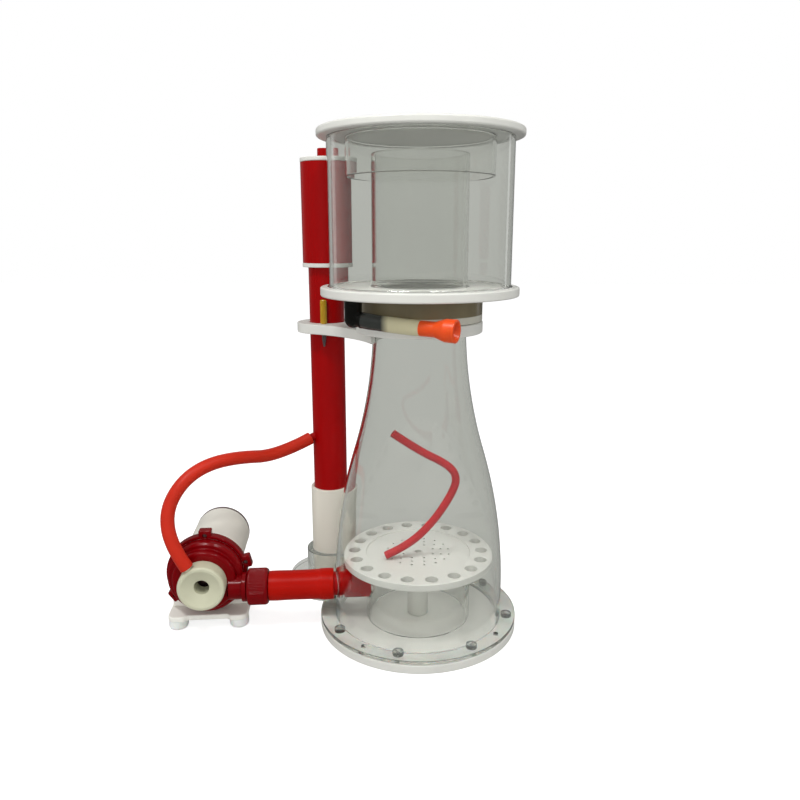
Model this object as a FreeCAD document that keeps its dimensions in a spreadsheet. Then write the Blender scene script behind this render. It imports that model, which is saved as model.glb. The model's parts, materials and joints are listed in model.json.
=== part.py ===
"""Protein skimmer: an acrylic reaction chamber with a pump, a standpipe with silencer and a foam cup.

Frame: origin at the centre of the base plate's underside, +Z up along the chamber's axis,
+Y towards the back and +X towards the side away from the pump. Millimetres.
"""
import FreeCAD, Part
import math
import os
import types

import Sketcher

doc = FreeCAD.newDocument("ProteinSkimmer")
sheet = doc.addObject("Spreadsheet::Sheet", "Sizes")

DRIVING_SIZES = {
    "base_radius": (118, "base plate radius"),
    "base_thick": (10, "base plate thickness"),
    "gasket_thick": (1.2, "base gasket thickness"),
    "flange_thick": (4.2, "chamber flange thickness"),
    "bolt_circle": (107.5, "radius of the circle of the flange screws and mounting holes"),
    "mount_hole": (2.75, "mounting hole radius"),
    "screw_shank": (2, "flange screw shank radius"),
    "screw_head": (6.2, "flange screw head radius"),
    "screw_head_high": (5, "flange screw head height"),
    "chamber_radius": (100, "chamber outer radius at the foot"),
    "neck_radius": (52, "neck outer radius"),
    "chamber_wall": (4, "chamber wall"),
    "shoulder_low": (50, "height where the chamber starts to narrow"),
    "shoulder_high": (372, "height where the neck becomes straight"),
    "shoulder_share": (0.522, "lower arc's share of both shoulder arcs"),
    "neck_top": (391, "top of the neck"),
    "diffuser_radius": (62.5, "diffuser tube outer radius"),
    "diffuser_wall": (4, "diffuser tube wall"),
    "post_radius": (12.5, "centre post radius"),
    "plate_radius": (89, "bubble plate radius"),
    "plate_low": (82, "underside of the bubble plate"),
    "plate_thick": (8, "bubble plate thickness"),
    "plate_recess": (1.5, "depth of the bubble plate's middle"),
    "plate_holes": (18, "count of large holes in the bubble plate"),
    "plate_hole": (7.2, "radius of the large holes"),
    "plate_hole_circle": (76.5, "radius of the circle of large holes"),
    "jet_hole": (1.6, "radius of the small bubble holes"),
    "ring_radius": (70.5, "neck ring radius"),
    "ring_low": (355, "underside of the neck ring"),
    "ring_thick": (12.4, "neck ring thickness"),
    "ring_bore": (52.3, "neck ring bore radius"),
    "arm_thick": (12, "support arm thickness"),
    "arm_eye": (58, "radius round the neck that the arm's hollow sides run up to"),
    "arm_inner": (27, "distance from the chamber's axis to the arm's square end"),
    "arm_end": (37, "arm's radius round the standpipe"),
    "arm_waist": (150, "radius of the arm's hollow sides"),
    "collar_radius": (69.8, "cup collar radius"),
    "collar_low": (370.4, "underside of the cup collar"),
    "seal_thick": (3.5, "neck seal section"),
    "cup_plate_radius": (109.5, "cup plate radius"),
    "cup_plate_low": (395.2, "underside of the cup plate"),
    "cup_plate_thick": (9.9, "cup plate thickness"),
    "cup_radius": (100, "cup wall outer radius"),
    "cup_wall": (4, "cup wall thickness"),
    "cup_top": (560, "top of the cup wall"),
    "riser_radius": (53, "foam riser outer radius"),
    "riser_top": (544, "top of the foam riser"),
    "lid_radius": (110.4, "lid radius"),
    "lid_thick": (8, "lid thickness"),
    "lid_collar": (80.4, "lid collar outer radius"),
    "lid_collar_low": (520, "lower edge of the lid collar"),
    "pipe_x": (-115.3, "standpipe axis, sideways"),
    "pipe_y": (90, "standpipe axis, backwards"),
    "pipe_radius": (21.4, "standpipe radius"),
    "pipe_wall": (2.5, "standpipe wall"),
    "pipe_top": (440, "top of the standpipe"),
    "sleeve_radius": (25.5, "outlet tube radius"),
    "sleeve_top": (139.5, "top of the outlet tube"),
    "foot_radius": (55, "outlet foot radius"),
    "foot_thick": (18, "outlet foot thickness"),
    "socket_radius": (33, "outlet socket radius"),
    "socket_top": (53, "top of the outlet socket"),
    "duct_radius": (16, "outlet duct radius"),
    "duct_high": (36, "outlet duct axis height"),
    "silencer_radius": (27.8, "silencer radius"),
    "silencer_low": (422, "lower edge of the silencer"),
    "silencer_top": (549, "top of the silencer"),
    "silencer_end": (5, "thickness of the silencer's end ring and cap"),
    "knob_radius": (7.5, "air valve knob radius"),
    "knob_top": (560, "top of the air valve knob"),
    "pump_x": (-248.1, "pump datum, sideways"),
    "pump_y": (-57, "pump datum, backwards"),
    "pump_z": (66, "pump axis height"),
    "pump_yaw": (6.3, "pump's turn about the vertical, degrees"),
    "intake_bore": (8.75, "pump intake bore radius"),
    "nozzle_reach": (5.6, "distance from the pump datum forward to the intake nozzle's face"),
    "nozzle_radius": (27, "intake nozzle radius"),
    "volute_radius": (44, "volute radius"),
    "clamp_radius": (47.5, "clamp ring radius"),
    "motor_radius": (35.3, "motor radius"),
    "motor_end": (163.5, "distance from the pump datum to the motor's back"),
    "outlet_along": (22, "distance from the pump datum to the outlet's axis"),
    "outlet_drop": (12, "outlet axis below the pump axis"),
    "nut_radius": (21.5, "union nut radius"),
    "hose_radius": (17.5, "pump hose radius"),
    "air_hose_radius": (8, "air hose radius"),
    "drain_hose_radius": (8.5, "drain hose radius"),
    "spare_hose_radius": (4.6, "spare hose radius"),
}


class Size:
    """A number together with the sheet formula that it comes from."""

    def __init__(self, value, formula):
        self.value = float(value)
        self.formula = formula

    def __add__(self, other):
        other = size_of(other)
        return Size(self.value + other.value, f"({self.formula} + {other.formula})")

    def __radd__(self, other):
        return size_of(other) + self

    def __sub__(self, other):
        other = size_of(other)
        return Size(self.value - other.value, f"({self.formula} - {other.formula})")

    def __rsub__(self, other):
        return size_of(other) - self

    def __mul__(self, other):
        other = size_of(other)
        return Size(self.value * other.value, f"({self.formula} * {other.formula})")

    def __rmul__(self, other):
        return size_of(other) * self

    def __truediv__(self, other):
        other = size_of(other)
        return Size(self.value / other.value, f"({self.formula} / {other.formula})")

    def __rtruediv__(self, other):
        return size_of(other) / self

    def root(self):
        return Size(math.sqrt(self.value), f"sqrt({self.formula})")


def size_of(number):
    """A Size as it is, or a plain number made into one."""
    return number if isinstance(number, Size) else Size(number, f"({float(number)!r})")


def fill_sheet():
    """Write the driving sizes into the sheet and give each cell its alias."""
    sizes = {}
    for row, (alias, (value, meaning)) in enumerate(DRIVING_SIZES.items(), start=1):
        sheet.set(f"A{row}", meaning)
        sheet.set(f"B{row}", str(value))
        sheet.setAlias(f"B{row}", alias)
        sizes[alias] = Size(value, f"Sizes.{alias}")
    doc.recompute()
    return types.SimpleNamespace(**sizes)


d = fill_sheet()
nodes = []
UP = FreeCAD.Vector(0, 0, 1)
LEVEL = FreeCAD.Rotation()


def bind(thing, field, size):
    """Bind one property of an object to its sheet formula."""
    thing.setExpression(field, size_of(size).formula)


def place(thing, x=0, y=0, z=0, rotation=LEVEL):
    """Put an object at a position bound to the sheet."""
    position = [size_of(value) for value in (x, y, z)]
    thing.Placement = FreeCAD.Placement(FreeCAD.Vector(*[p.value for p in position]), rotation)
    for field, value in zip(("x", "y", "z"), position):
        bind(thing, f"Placement.Base.{field}", value)
    return thing


def node(thing, name):
    """Give a finished sub-part its name."""
    thing.Label = name
    nodes.append(thing)
    return thing


def cylinder(radius, low, high, x=0, y=0):
    """An upright cylinder."""
    rod = doc.addObject("Part::Cylinder", "Rod")
    bind(rod, "Radius", radius)
    bind(rod, "Height", size_of(high) - low)
    return place(rod, x, y, low)


def level_cylinder(radius, length, x, y, z, rotation):
    """A cylinder that starts at a point and runs along its turned Z axis."""
    rod = doc.addObject("Part::Cylinder", "LevelRod")
    bind(rod, "Radius", radius)
    bind(rod, "Height", length)
    return place(rod, x, y, z, rotation)


def box(length, width, height, x, y, z, rotation=LEVEL):
    """A block from its lowest corner."""
    block = doc.addObject("Part::Box", "Block")
    bind(block, "Length", length)
    bind(block, "Width", width)
    bind(block, "Height", height)
    return place(block, x, y, z, rotation)


def cut(base, *tools):
    """A solid with each tool taken away."""
    for tool in tools:
        step = doc.addObject("Part::Cut", "Cut")
        step.Base = base
        step.Tool = tool
        base = step
    return base


def fuse(*shapes):
    """Several overlapping solids as one."""
    joined = doc.addObject("Part::MultiFuse", "Joined")
    joined.Shapes = list(shapes)
    joined.Refine = True
    return joined


def group(*solids):
    """Separate solids kept as one node."""
    kept = doc.addObject("Part::Compound", "Group")
    kept.Links = list(solids)
    return kept


def ring(outer, inner, low, high, x=0, y=0):
    """A flat ring or a tube."""
    return cut(cylinder(outer, low, high, x, y), cylinder(inner, size_of(low) - 1, size_of(high) + 1, x, y))


def bearing_angle(index, count, first):
    """Angle in radians of one place on a circle, counted from the front towards +X."""
    return math.radians(first + 360 / count * index - 90)


def around(radius, count, first):
    """Places on a circle, counted from the front towards +X."""
    spots = []
    for index in range(count):
        angle = bearing_angle(index, count, first)
        spots.append((size_of(radius) * math.cos(angle), size_of(radius) * math.sin(angle)))
    return spots


def origin_plane(body, role):
    """One of a body's own origin planes."""
    return [item for item in body.Origin.OriginFeatures if item.Role == role][0]


def line_to(x, y):
    return {"point": (size_of(x), size_of(y)), "centre": None}


def arc_to(x, y, centre, radius, left):
    """An arc to a point; left is True when it bends to the left of its direction."""
    middle = (size_of(centre[0]), size_of(centre[1]))
    return {"point": (size_of(x), size_of(y)), "centre": middle, "radius": size_of(radius), "left": left}


def flat_point(pair):
    return FreeCAD.Vector(pair[0].value, pair[1].value, 0)


def sketch_edge(start, step):
    """One edge's geometry, and which of its ends lies at the start."""
    end = step["point"]
    if step["centre"] is None:
        return Part.LineSegment(flat_point(start), flat_point(end)), 1
    centre = flat_point(step["centre"])
    first = flat_point(start) - centre
    last = flat_point(end) - centre
    if not step["left"]:
        first, last = last, first
    low = math.atan2(first.y, first.x)
    high = math.atan2(last.y, last.x)
    if high <= low:
        high += 2 * math.pi
    circle = Part.Circle(centre, UP, step["radius"].value)
    return Part.ArcOfCircle(circle, low, high), 1 if step["left"] else 2


def bind_coordinate(sketch, kind, edge, end, size, name):
    """Bind one coordinate of a corner, or put the corner on the axis when it is zero."""
    axis_line = -2 if kind == "DistanceX" else -1
    if abs(size.value) < 1e-9:
        sketch.addConstraint(Sketcher.Constraint("PointOnObject", edge, end, axis_line))
        return
    index = sketch.addConstraint(Sketcher.Constraint(kind, -1, 1, edge, end, size.value))
    sketch.renameConstraint(index, name)
    sketch.setExpression(f"Constraints.{name}", size.formula)


def draw(sketch, outline):
    """Draw a closed outline; each step runs from the point before it."""
    start = outline[-1]["point"]
    ends = []
    for index, step in enumerate(outline):
        edge, start_end = sketch_edge(start, step)
        sketch.addGeometry(edge, False)
        ends.append((start_end, 3 - start_end))
        bind_coordinate(sketch, "DistanceX", index, ends[-1][1], step["point"][0], f"across{index}")
        bind_coordinate(sketch, "DistanceY", index, ends[-1][1], step["point"][1], f"along{index}")
        start = step["point"]
    for index, step in enumerate(outline):
        following = (index + 1) % len(outline)
        joint = Sketcher.Constraint("Coincident", index, ends[index][1], following, ends[following][0])
        sketch.addConstraint(joint)
        if step["centre"] is not None:
            place_in_list = sketch.addConstraint(Sketcher.Constraint("Radius", index, step["radius"].value))
            sketch.renameConstraint(place_in_list, f"bend{index}")
            sketch.setExpression(f"Constraints.bend{index}", step["radius"].formula)


def sketch_on(body, role):
    """A new sketch on one of a body's origin planes."""
    sketch = body.newObject("Sketcher::SketchObject", "Outline")
    sketch.AttachmentSupport = (origin_plane(body, role), [""])
    sketch.MapMode = "FlatFace"
    return sketch


def turned(outline):
    """A body turned about its own Z axis from an outline of (radius, height) steps."""
    body = doc.addObject("PartDesign::Body", "Turned")
    sketch = sketch_on(body, "XZ_Plane")
    draw(sketch, outline)
    turn = body.newObject("PartDesign::Revolution", "Turn")
    turn.Profile = sketch
    turn.ReferenceAxis = (sketch, ["V_Axis"])
    turn.Angle = 360
    return body


def turned_corners(*corners):
    """A turned body whose outline has straight edges only."""
    return turned([line_to(radius, height) for radius, height in corners])


def padded(outline, height):
    """A flat body raised from an outline in its own XY plane."""
    body = doc.addObject("PartDesign::Body", "Padded")
    sketch = sketch_on(body, "XY_Plane")
    draw(sketch, outline)
    pad = body.newObject("PartDesign::Pad", "Pad")
    pad.Profile = sketch
    bind(pad, "Length", height)
    return body


def drill_circle(body, radius, circle, count, first):
    """Drill a circle of through holes in a body, along its Z axis."""
    x, y = around(circle, int(size_of(count).value), first)[0]
    sketch = sketch_on(body, "XY_Plane")
    sketch.addGeometry(Part.Circle(FreeCAD.Vector(x.value, y.value, 0), UP, size_of(radius).value), False)
    bind_coordinate(sketch, "DistanceX", 0, 3, x, "across")
    bind_coordinate(sketch, "DistanceY", 0, 3, y, "along")
    index = sketch.addConstraint(Sketcher.Constraint("Radius", 0, size_of(radius).value))
    sketch.renameConstraint(index, "hole")
    sketch.setExpression("Constraints.hole", size_of(radius).formula)
    pocket = body.newObject("PartDesign::Pocket", "Drilled")
    pocket.Profile = sketch
    pocket.Type = "ThroughAll"
    pocket.Midplane = True
    pattern = body.newObject("PartDesign::PolarPattern", "Circle")
    pattern.Originals = [pocket]
    pattern.Axis = (sketch, ["N_Axis"])
    pattern.Angle = 360
    bind(pattern, "Occurrences", count)
    body.Tip = pattern
    return body


# ---------------------------------------------------------------- frames and shared heights

GASKET_TOP = d.base_thick + d.gasket_thick
FLANGE_TOP = GASKET_TOP + d.flange_thick
PLATE_TOP = d.plate_low + d.plate_thick
CUP_FLOOR = d.cup_plate_low + d.cup_plate_thick
SCREWS = 8
SCREW_TURN = -11.25
MOUNTS = 4
MOUNT_TURN = -33.75
TINY = 0.1
BEYOND = 1

pump_turn = math.radians(d.pump_yaw.value)
PUMP_ROTATION = FreeCAD.Rotation(UP, d.pump_yaw.value) * FreeCAD.Rotation(FreeCAD.Vector(1, 0, 0), -90)
OUTLET_ROTATION = FreeCAD.Rotation(UP, d.pump_yaw.value) * FreeCAD.Rotation(FreeCAD.Vector(0, 1, 0), 90)
pipe_bearing = math.atan2(d.pipe_y.value, d.pipe_x.value)
pipe_distance = (d.pipe_x * d.pipe_x + d.pipe_y * d.pipe_y).root()
PIPE_TURN = FreeCAD.Rotation(UP, math.degrees(pipe_bearing))
DUCT_ROTATION = PIPE_TURN * FreeCAD.Rotation(FreeCAD.Vector(0, 1, 0), 90)


def pump_point(along, out, rise):
    """World position of a point behind, beside and above the pump's datum."""
    x = d.pump_x + size_of(out) * math.cos(pump_turn) - size_of(along) * math.sin(pump_turn)
    y = d.pump_y + size_of(out) * math.sin(pump_turn) + size_of(along) * math.cos(pump_turn)
    return x, y, d.pump_z + rise


def on_pump_axis(thing):
    """Put a body whose Z axis is the pump axis in its place."""
    return place(thing, d.pump_x, d.pump_y, d.pump_z, PUMP_ROTATION)


def on_outlet_axis(thing):
    """Put a body whose Z axis is the pump's outlet in its place."""
    return place(thing, *pump_point(d.outlet_along, 0, 0 - d.outlet_drop), OUTLET_ROTATION)


def pump_box(out, length, along, depth, low, high):
    """A level block squared with the pump: out and length sideways, along and depth backwards."""
    level = FreeCAD.Rotation(UP, d.pump_yaw.value)
    x, y, _ = pump_point(along, out, 0)
    return box(length, depth, size_of(high) - low, x, y, low, level)


def pump_rod(radius, along, length, out, rise):
    """A cylinder parallel with the pump axis."""
    return level_cylinder(radius, length, *pump_point(along, out, rise), PUMP_ROTATION)


# ---------------------------------------------------------------- routes of the free hoses

AIR_NIPPLE_ALONG = 0
AIR_NIPPLE_OUT = -0.5
AIR_NIPPLE_RISE = math.sqrt(0.75)
AIR_NIPPLE_END = 29
AIR_SECOND = 60
AIR_ROUTE = (
    tuple(size.value for size in pump_point(
        AIR_NIPPLE_ALONG, AIR_NIPPLE_OUT * AIR_NIPPLE_END, AIR_NIPPLE_RISE * AIR_NIPPLE_END)),
    tuple(size.value for size in pump_point(
        AIR_NIPPLE_ALONG, AIR_NIPPLE_OUT * AIR_SECOND, AIR_NIPPLE_RISE * AIR_SECOND)),
    (-285.5, -50, 154.5),
    (-272, -33, 183.5),
    (-249, -11.5, 198.5),
    (-218, 15, 200),
    (-178, 56.5, 189),
    (-138.3, 78, 206.6),
)
DRAIN_ROUTE = ((-58.5, -61.1, 373.83), (-27, -76.4, 370.3), (6.5, -91, 369.2))
SPARE_ROUTE = (
    (-29, -26, 243),
    (0, -22, 221.5),
    (33.5, -17, 204),
    (45, -15, 188),
    (38.5, -14.5, 166.5),
    (17, -16.5, 132.5),
    (-12, -21, 105),
    (-38, -24, 93.6),
)


# ---------------------------------------------------------------- base and reaction chamber

SCREW_TIP = 2
SCREW_SOCKET = 2.5
SOCKET_DEEP = 3
WALL_ROOM = 16
PLATE_BORE = 4
PLATE_TURN = -8.6
JET_CIRCLES = ((19, 8), (28, 12), (37, 16))
HOSE_BORE = 14
WATERWAY = 11
NECK_START = 128
NECK_END = 164
INLET_RADIUS = 16.5
INLET_END = 196


def drilled_disc(inner, low, high):
    """A round of the base stack, with the screw holes and the mounting holes."""
    body = turned_corners((inner, low), (d.base_radius, low), (d.base_radius, high), (inner, high))
    drill_circle(body, d.screw_shank + TINY, d.bolt_circle, SCREWS, SCREW_TURN)
    return drill_circle(body, d.mount_hole, d.bolt_circle, MOUNTS, MOUNT_TURN)


def flange_screws():
    """Socket-head screws that hold the chamber flange down on the base."""
    head_top = FLANGE_TOP + d.screw_head_high
    screws = []
    for x, y in around(d.bolt_circle, SCREWS, SCREW_TURN):
        head = cylinder(d.screw_head, FLANGE_TOP, head_top, x, y)
        shank = cylinder(d.screw_shank, SCREW_TIP, FLANGE_TOP + BEYOND, x, y)
        socket = cylinder(SCREW_SOCKET, head_top - SOCKET_DEEP, head_top + BEYOND, x, y)
        screws.append(cut(fuse(head, shank), socket))
    return group(*screws)


def shoulder():
    """The two arcs between chamber and neck: radii, centres and the direction where they meet."""
    slope = (d.chamber_radius - d.neck_radius) / (d.shoulder_high - d.shoulder_low)
    square = slope * slope
    cosine = (1 - square) / (1 + square)
    sine = 2 * slope / (1 + square)
    both = (d.shoulder_high - d.shoulder_low) / sine
    low_arc = both * d.shoulder_share
    high_arc = both - low_arc
    return low_arc, high_arc, cosine, sine


def reaction_chamber():
    """Bell-shaped acrylic chamber with the inlet hole and the outlet hole."""
    low_arc, high_arc, cosine, sine = shoulder()
    low_centre = (d.chamber_radius - low_arc, d.shoulder_low)
    high_centre = (d.neck_radius + high_arc, d.shoulder_high)
    inner_low = low_arc - d.chamber_wall
    inner_radius = d.chamber_radius - d.chamber_wall
    inner_neck = d.neck_radius - d.chamber_wall
    meet = (low_centre[0] + low_arc * cosine, d.shoulder_low + low_arc * sine)
    inner_meet = (low_centre[0] + inner_low * cosine, d.shoulder_low + inner_low * sine)
    bell = turned([
        line_to(d.chamber_radius, d.base_thick),
        line_to(d.chamber_radius, d.shoulder_low),
        arc_to(*meet, low_centre, low_arc, True),
        arc_to(d.neck_radius, d.shoulder_high, high_centre, high_arc, False),
        line_to(d.neck_radius, d.neck_top),
        line_to(inner_neck, d.neck_top),
        line_to(inner_neck, d.shoulder_high),
        arc_to(*inner_meet, high_centre, high_arc + d.chamber_wall, True),
        arc_to(inner_radius, d.shoulder_low, low_centre, inner_low, False),
        line_to(inner_radius, d.base_thick),
    ])
    inlet_hole = outlet_rod(HOSE_BORE, NECK_START, NECK_END - NECK_START + BEYOND)
    duct_hole = duct_rod(d.duct_radius, inner_radius - WALL_ROOM, d.chamber_wall + 2 * WALL_ROOM)
    return cut(bell, inlet_hole, duct_hole)


def outlet_rod(radius, start, length):
    """A cylinder on the pump's outlet axis."""
    x, y, z = pump_point(d.outlet_along, start, 0 - d.outlet_drop)
    return level_cylinder(radius, length, x, y, z, OUTLET_ROTATION)


def duct_rod(radius, start, length):
    """A cylinder on the outlet duct's axis, from the chamber towards the standpipe."""
    x = size_of(start) * math.cos(pipe_bearing)
    y = size_of(start) * math.sin(pipe_bearing)
    return level_cylinder(radius, length, x, y, d.duct_high, DUCT_ROTATION)


def bubble_plate():
    """Round plate with a circle of large holes, a shallow middle and rings of small bubble holes."""
    plate = turned_corners(
        (PLATE_BORE, d.plate_low),
        (d.plate_radius, d.plate_low),
        (d.plate_radius, PLATE_TOP),
        (d.diffuser_radius, PLATE_TOP),
        (d.diffuser_radius, PLATE_TOP - d.plate_recess),
        (PLATE_BORE, PLATE_TOP - d.plate_recess),
    )
    drill_circle(plate, d.plate_hole, d.plate_hole_circle, d.plate_holes, PLATE_TURN)
    for circle, count in JET_CIRCLES:
        drill_circle(plate, d.jet_hole, circle, count, 360 / count / 2)
    return plate


def inlet_pipe():
    """Pipe through the chamber wall that takes the pumped water under the bubble plate."""
    pipe = turned_corners(
        (WATERWAY, NECK_START), (HOSE_BORE, NECK_START), (HOSE_BORE, NECK_END),
        (INLET_RADIUS, NECK_END), (INLET_RADIUS, INLET_END), (WATERWAY, INLET_END),
    )
    return on_outlet_axis(pipe)


node(drilled_disc(0, 0, d.base_thick), "base_plate")
node(drilled_disc(d.chamber_radius, d.base_thick, GASKET_TOP), "base_gasket")
node(drilled_disc(d.chamber_radius, GASKET_TOP, FLANGE_TOP), "chamber_flange")
node(flange_screws(), "flange_screws")
node(reaction_chamber(), "reaction_chamber")
diffuser = ring(d.diffuser_radius, d.diffuser_radius - d.diffuser_wall, d.base_thick, d.plate_low)
inlet_way = outlet_rod(INLET_RADIUS + TINY, NECK_END, INLET_END - NECK_END + BEYOND)
node(cut(diffuser, inlet_way), "diffuser_tube")
node(cylinder(d.post_radius, d.base_thick, d.plate_low), "centre_post")
node(bubble_plate(), "bubble_plate")
node(inlet_pipe(), "inlet_pipe")


# ---------------------------------------------------------------- neck ring and support arm

PIN_X = d.pipe_x - 0.8
PIN_Y = d.pipe_y - 26
PIN_RADIUS = 2.5
PIN_TOP = 372
CAP_RADIUS = 4
CAP_ROUND = 380
BITE_ROOM = 0.6


def support_arm():
    """Flat arm with hollow sides, from a bite round the back of the neck to the standpipe."""
    to_eye = d.arm_eye + d.arm_waist
    to_end = d.arm_end + d.arm_waist
    reach = pipe_distance
    across = (to_eye * to_eye - to_end * to_end + reach * reach) / (2 * reach)
    aside = (to_eye * to_eye - across * across).root()
    from_waist = across - d.arm_inner
    inner_half = aside - (d.arm_waist * d.arm_waist - from_waist * from_waist).root()
    end_x = reach + (across - reach) * d.arm_end / to_end
    end_y = aside * d.arm_end / to_end
    arm = padded([
        line_to(d.arm_inner, 0 - inner_half),
        arc_to(end_x, 0 - end_y, (across, 0 - aside), d.arm_waist, False),
        arc_to(end_x, end_y, (reach, 0), d.arm_end, True),
        arc_to(d.arm_inner, inner_half, (across, aside), d.arm_waist, False),
    ], d.arm_thick)
    low = d.ring_low - d.arm_thick
    place(arm, 0, 0, low, PIPE_TURN)
    high = d.ring_low + BEYOND
    neck_hole = cylinder(d.ring_bore + BITE_ROOM, low - BEYOND, high)
    pipe_hole = cylinder(d.pipe_radius + TINY, low - BEYOND, high, d.pipe_x, d.pipe_y)
    pin_hole = cylinder(PIN_RADIUS, low - BEYOND, high, PIN_X, PIN_Y)
    return cut(arm, neck_hole, pipe_hole, pin_hole)


def arm_pin():
    """Pointed pin through the arm beside the standpipe."""
    pin = turned_corners((0, 327), (1.2, 327), (PIN_RADIUS, 336), (PIN_RADIUS, PIN_TOP), (0, PIN_TOP))
    return place(pin, PIN_X, PIN_Y)


def arm_pin_cap():
    """Round-topped cap over the pin."""
    cap = turned([
        line_to(PIN_RADIUS, d.ring_low),
        line_to(CAP_RADIUS, d.ring_low),
        line_to(CAP_RADIUS, CAP_ROUND),
        arc_to(0, CAP_ROUND + CAP_RADIUS, (0, CAP_ROUND), CAP_RADIUS, True),
        line_to(0, PIN_TOP),
        line_to(PIN_RADIUS, PIN_TOP),
    ])
    return place(cap, PIN_X, PIN_Y)


node(ring(d.ring_radius, d.ring_bore, d.ring_low, d.ring_low + d.ring_thick), "neck_ring")
node(support_arm(), "support_arm")
node(arm_pin(), "arm_pin")
node(arm_pin_cap(), "arm_pin_cap")


# ---------------------------------------------------------------- standpipe and silencer

DUCT_START = 94
DUCT_BORE = d.duct_radius - 4
PIPE_FOOT = 60
AIR_PORT_RADIUS = 5
AIR_PORT_BORE = 3
AIR_PORT_LONG = 8
STEM_RADIUS = 3
STEM_LOW = 536
KNOB_GAP = 0.3
SLEEVE_LOW = d.silencer_low + d.silencer_end
SLEEVE_TOP = d.silencer_top - d.silencer_end
SLEEVE_INNER = d.silencer_radius - 2.6


def outlet_foot():
    """Low clear block beside the base, rounded round the standpipe."""
    block = cylinder(d.foot_radius, 0, d.foot_thick, d.pipe_x, d.pipe_y)
    return cut(block, cylinder(d.base_radius, 0 - BEYOND, d.foot_thick + BEYOND))


def outlet_duct():
    """Short tube from the chamber wall into the outlet tube."""
    outer = duct_rod(d.duct_radius, DUCT_START, pipe_distance - DUCT_START)
    bore = duct_rod(DUCT_BORE, DUCT_START - BEYOND, pipe_distance - DUCT_START)
    return cut(outer, cylinder(d.sleeve_radius, 0, d.sleeve_top, d.pipe_x, d.pipe_y), bore)


def outlet_socket():
    """Clear socket that holds the outlet tube on its foot."""
    socket = ring(d.socket_radius, d.sleeve_radius, d.foot_thick, d.socket_top, d.pipe_x, d.pipe_y)
    return cut(socket, duct_rod(d.duct_radius, DUCT_START, pipe_distance - DUCT_START))


def outlet_tube():
    """White tube in the socket, which takes the foot of the standpipe."""
    tube = ring(d.sleeve_radius, d.pipe_radius, d.foot_thick, d.sleeve_top, d.pipe_x, d.pipe_y)
    return cut(tube, duct_rod(DUCT_BORE, DUCT_START, pipe_distance - DUCT_START))


def standpipe():
    """Long pipe with a hole for the air port."""
    pipe = ring(d.pipe_radius, d.pipe_radius - d.pipe_wall, PIPE_FOOT, d.pipe_top, d.pipe_x, d.pipe_y)
    return cut(pipe, air_port_rod(AIR_PORT_RADIUS, 2 * AIR_PORT_LONG))


def air_port_rod(radius, length):
    """A cylinder from the air port's mouth into the standpipe, in line with the end of the air hose."""
    heading = FreeCAD.Vector(*[b - a for a, b in zip(AIR_ROUTE[-2], AIR_ROUTE[-1])])
    return level_cylinder(radius, length, *AIR_ROUTE[-1], FreeCAD.Rotation(UP, heading))


def air_port():
    """Hollow nipple in the standpipe's side."""
    outer = air_port_rod(AIR_PORT_RADIUS, AIR_PORT_LONG)
    return cut(outer, air_port_rod(AIR_PORT_BORE, AIR_PORT_LONG + BEYOND))


def air_valve():
    """Knob on the silencer's cap, with its stem."""
    knob_low = d.silencer_top + KNOB_GAP
    return turned_corners(
        (0, STEM_LOW), (STEM_RADIUS, STEM_LOW), (STEM_RADIUS, knob_low),
        (d.knob_radius, knob_low), (d.knob_radius, d.knob_top), (0, d.knob_top),
    )


node(outlet_foot(), "outlet_foot")
node(outlet_duct(), "outlet_duct")
node(outlet_socket(), "outlet_socket")
node(outlet_tube(), "outlet_tube")
node(standpipe(), "standpipe")
node(air_port(), "air_port")
end_radius = d.silencer_radius + 0.5
sliding_bore = d.pipe_radius + 0.08
node(ring(end_radius, sliding_bore, d.silencer_low, SLEEVE_LOW, d.pipe_x, d.pipe_y), "silencer_ring")
node(ring(d.silencer_radius, SLEEVE_INNER, SLEEVE_LOW, SLEEVE_TOP, d.pipe_x, d.pipe_y), "silencer_sleeve")
cap_bore = STEM_RADIUS + 0.06
node(ring(end_radius, cap_bore, SLEEVE_TOP, d.silencer_top, d.pipe_x, d.pipe_y), "silencer_cap")
node(ring(SLEEVE_INNER, 6, 446, 534, d.pipe_x, d.pipe_y), "silencer_foam")
node(place(air_valve(), d.pipe_x, d.pipe_y), "air_valve_knob")


# ---------------------------------------------------------------- foam cup, lid and drain

SEAL_HIGH = 380
SEAL_ROOM = 2.1
ELBOW_X = -69
ELBOW_Y = -56
ELBOW_LOW = 365
ELBOW_RADIUS = 9.3
ELBOW_BORE = 5
ELBOW_WALL = 4
SPIGOT_RADIUS = 7
ELBOW = (ELBOW_X, ELBOW_Y, 375)
LID_LOW = d.cup_top + 0.2
LID_COLLAR_WALL = 3


def cup_collar():
    """Collar under the cup, with a groove for the neck seal."""
    bore = d.neck_radius + 0.5
    groove = d.neck_radius + d.seal_thick + 0.7
    return turned_corners(
        (bore, d.collar_low), (d.collar_radius, d.collar_low), (d.collar_radius, d.cup_plate_low),
        (bore, d.cup_plate_low), (bore, SEAL_HIGH + SEAL_ROOM), (groove, SEAL_HIGH + SEAL_ROOM),
        (groove, SEAL_HIGH - SEAL_ROOM), (bore, SEAL_HIGH - SEAL_ROOM),
    )


def neck_seal():
    """O-ring round the neck."""
    seal = doc.addObject("Part::Torus", "Seal")
    bind(seal, "Radius1", d.neck_radius + 0.2 + d.seal_thick / 2)
    bind(seal, "Radius2", d.seal_thick / 2)
    return place(seal, 0, 0, SEAL_HIGH)


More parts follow.
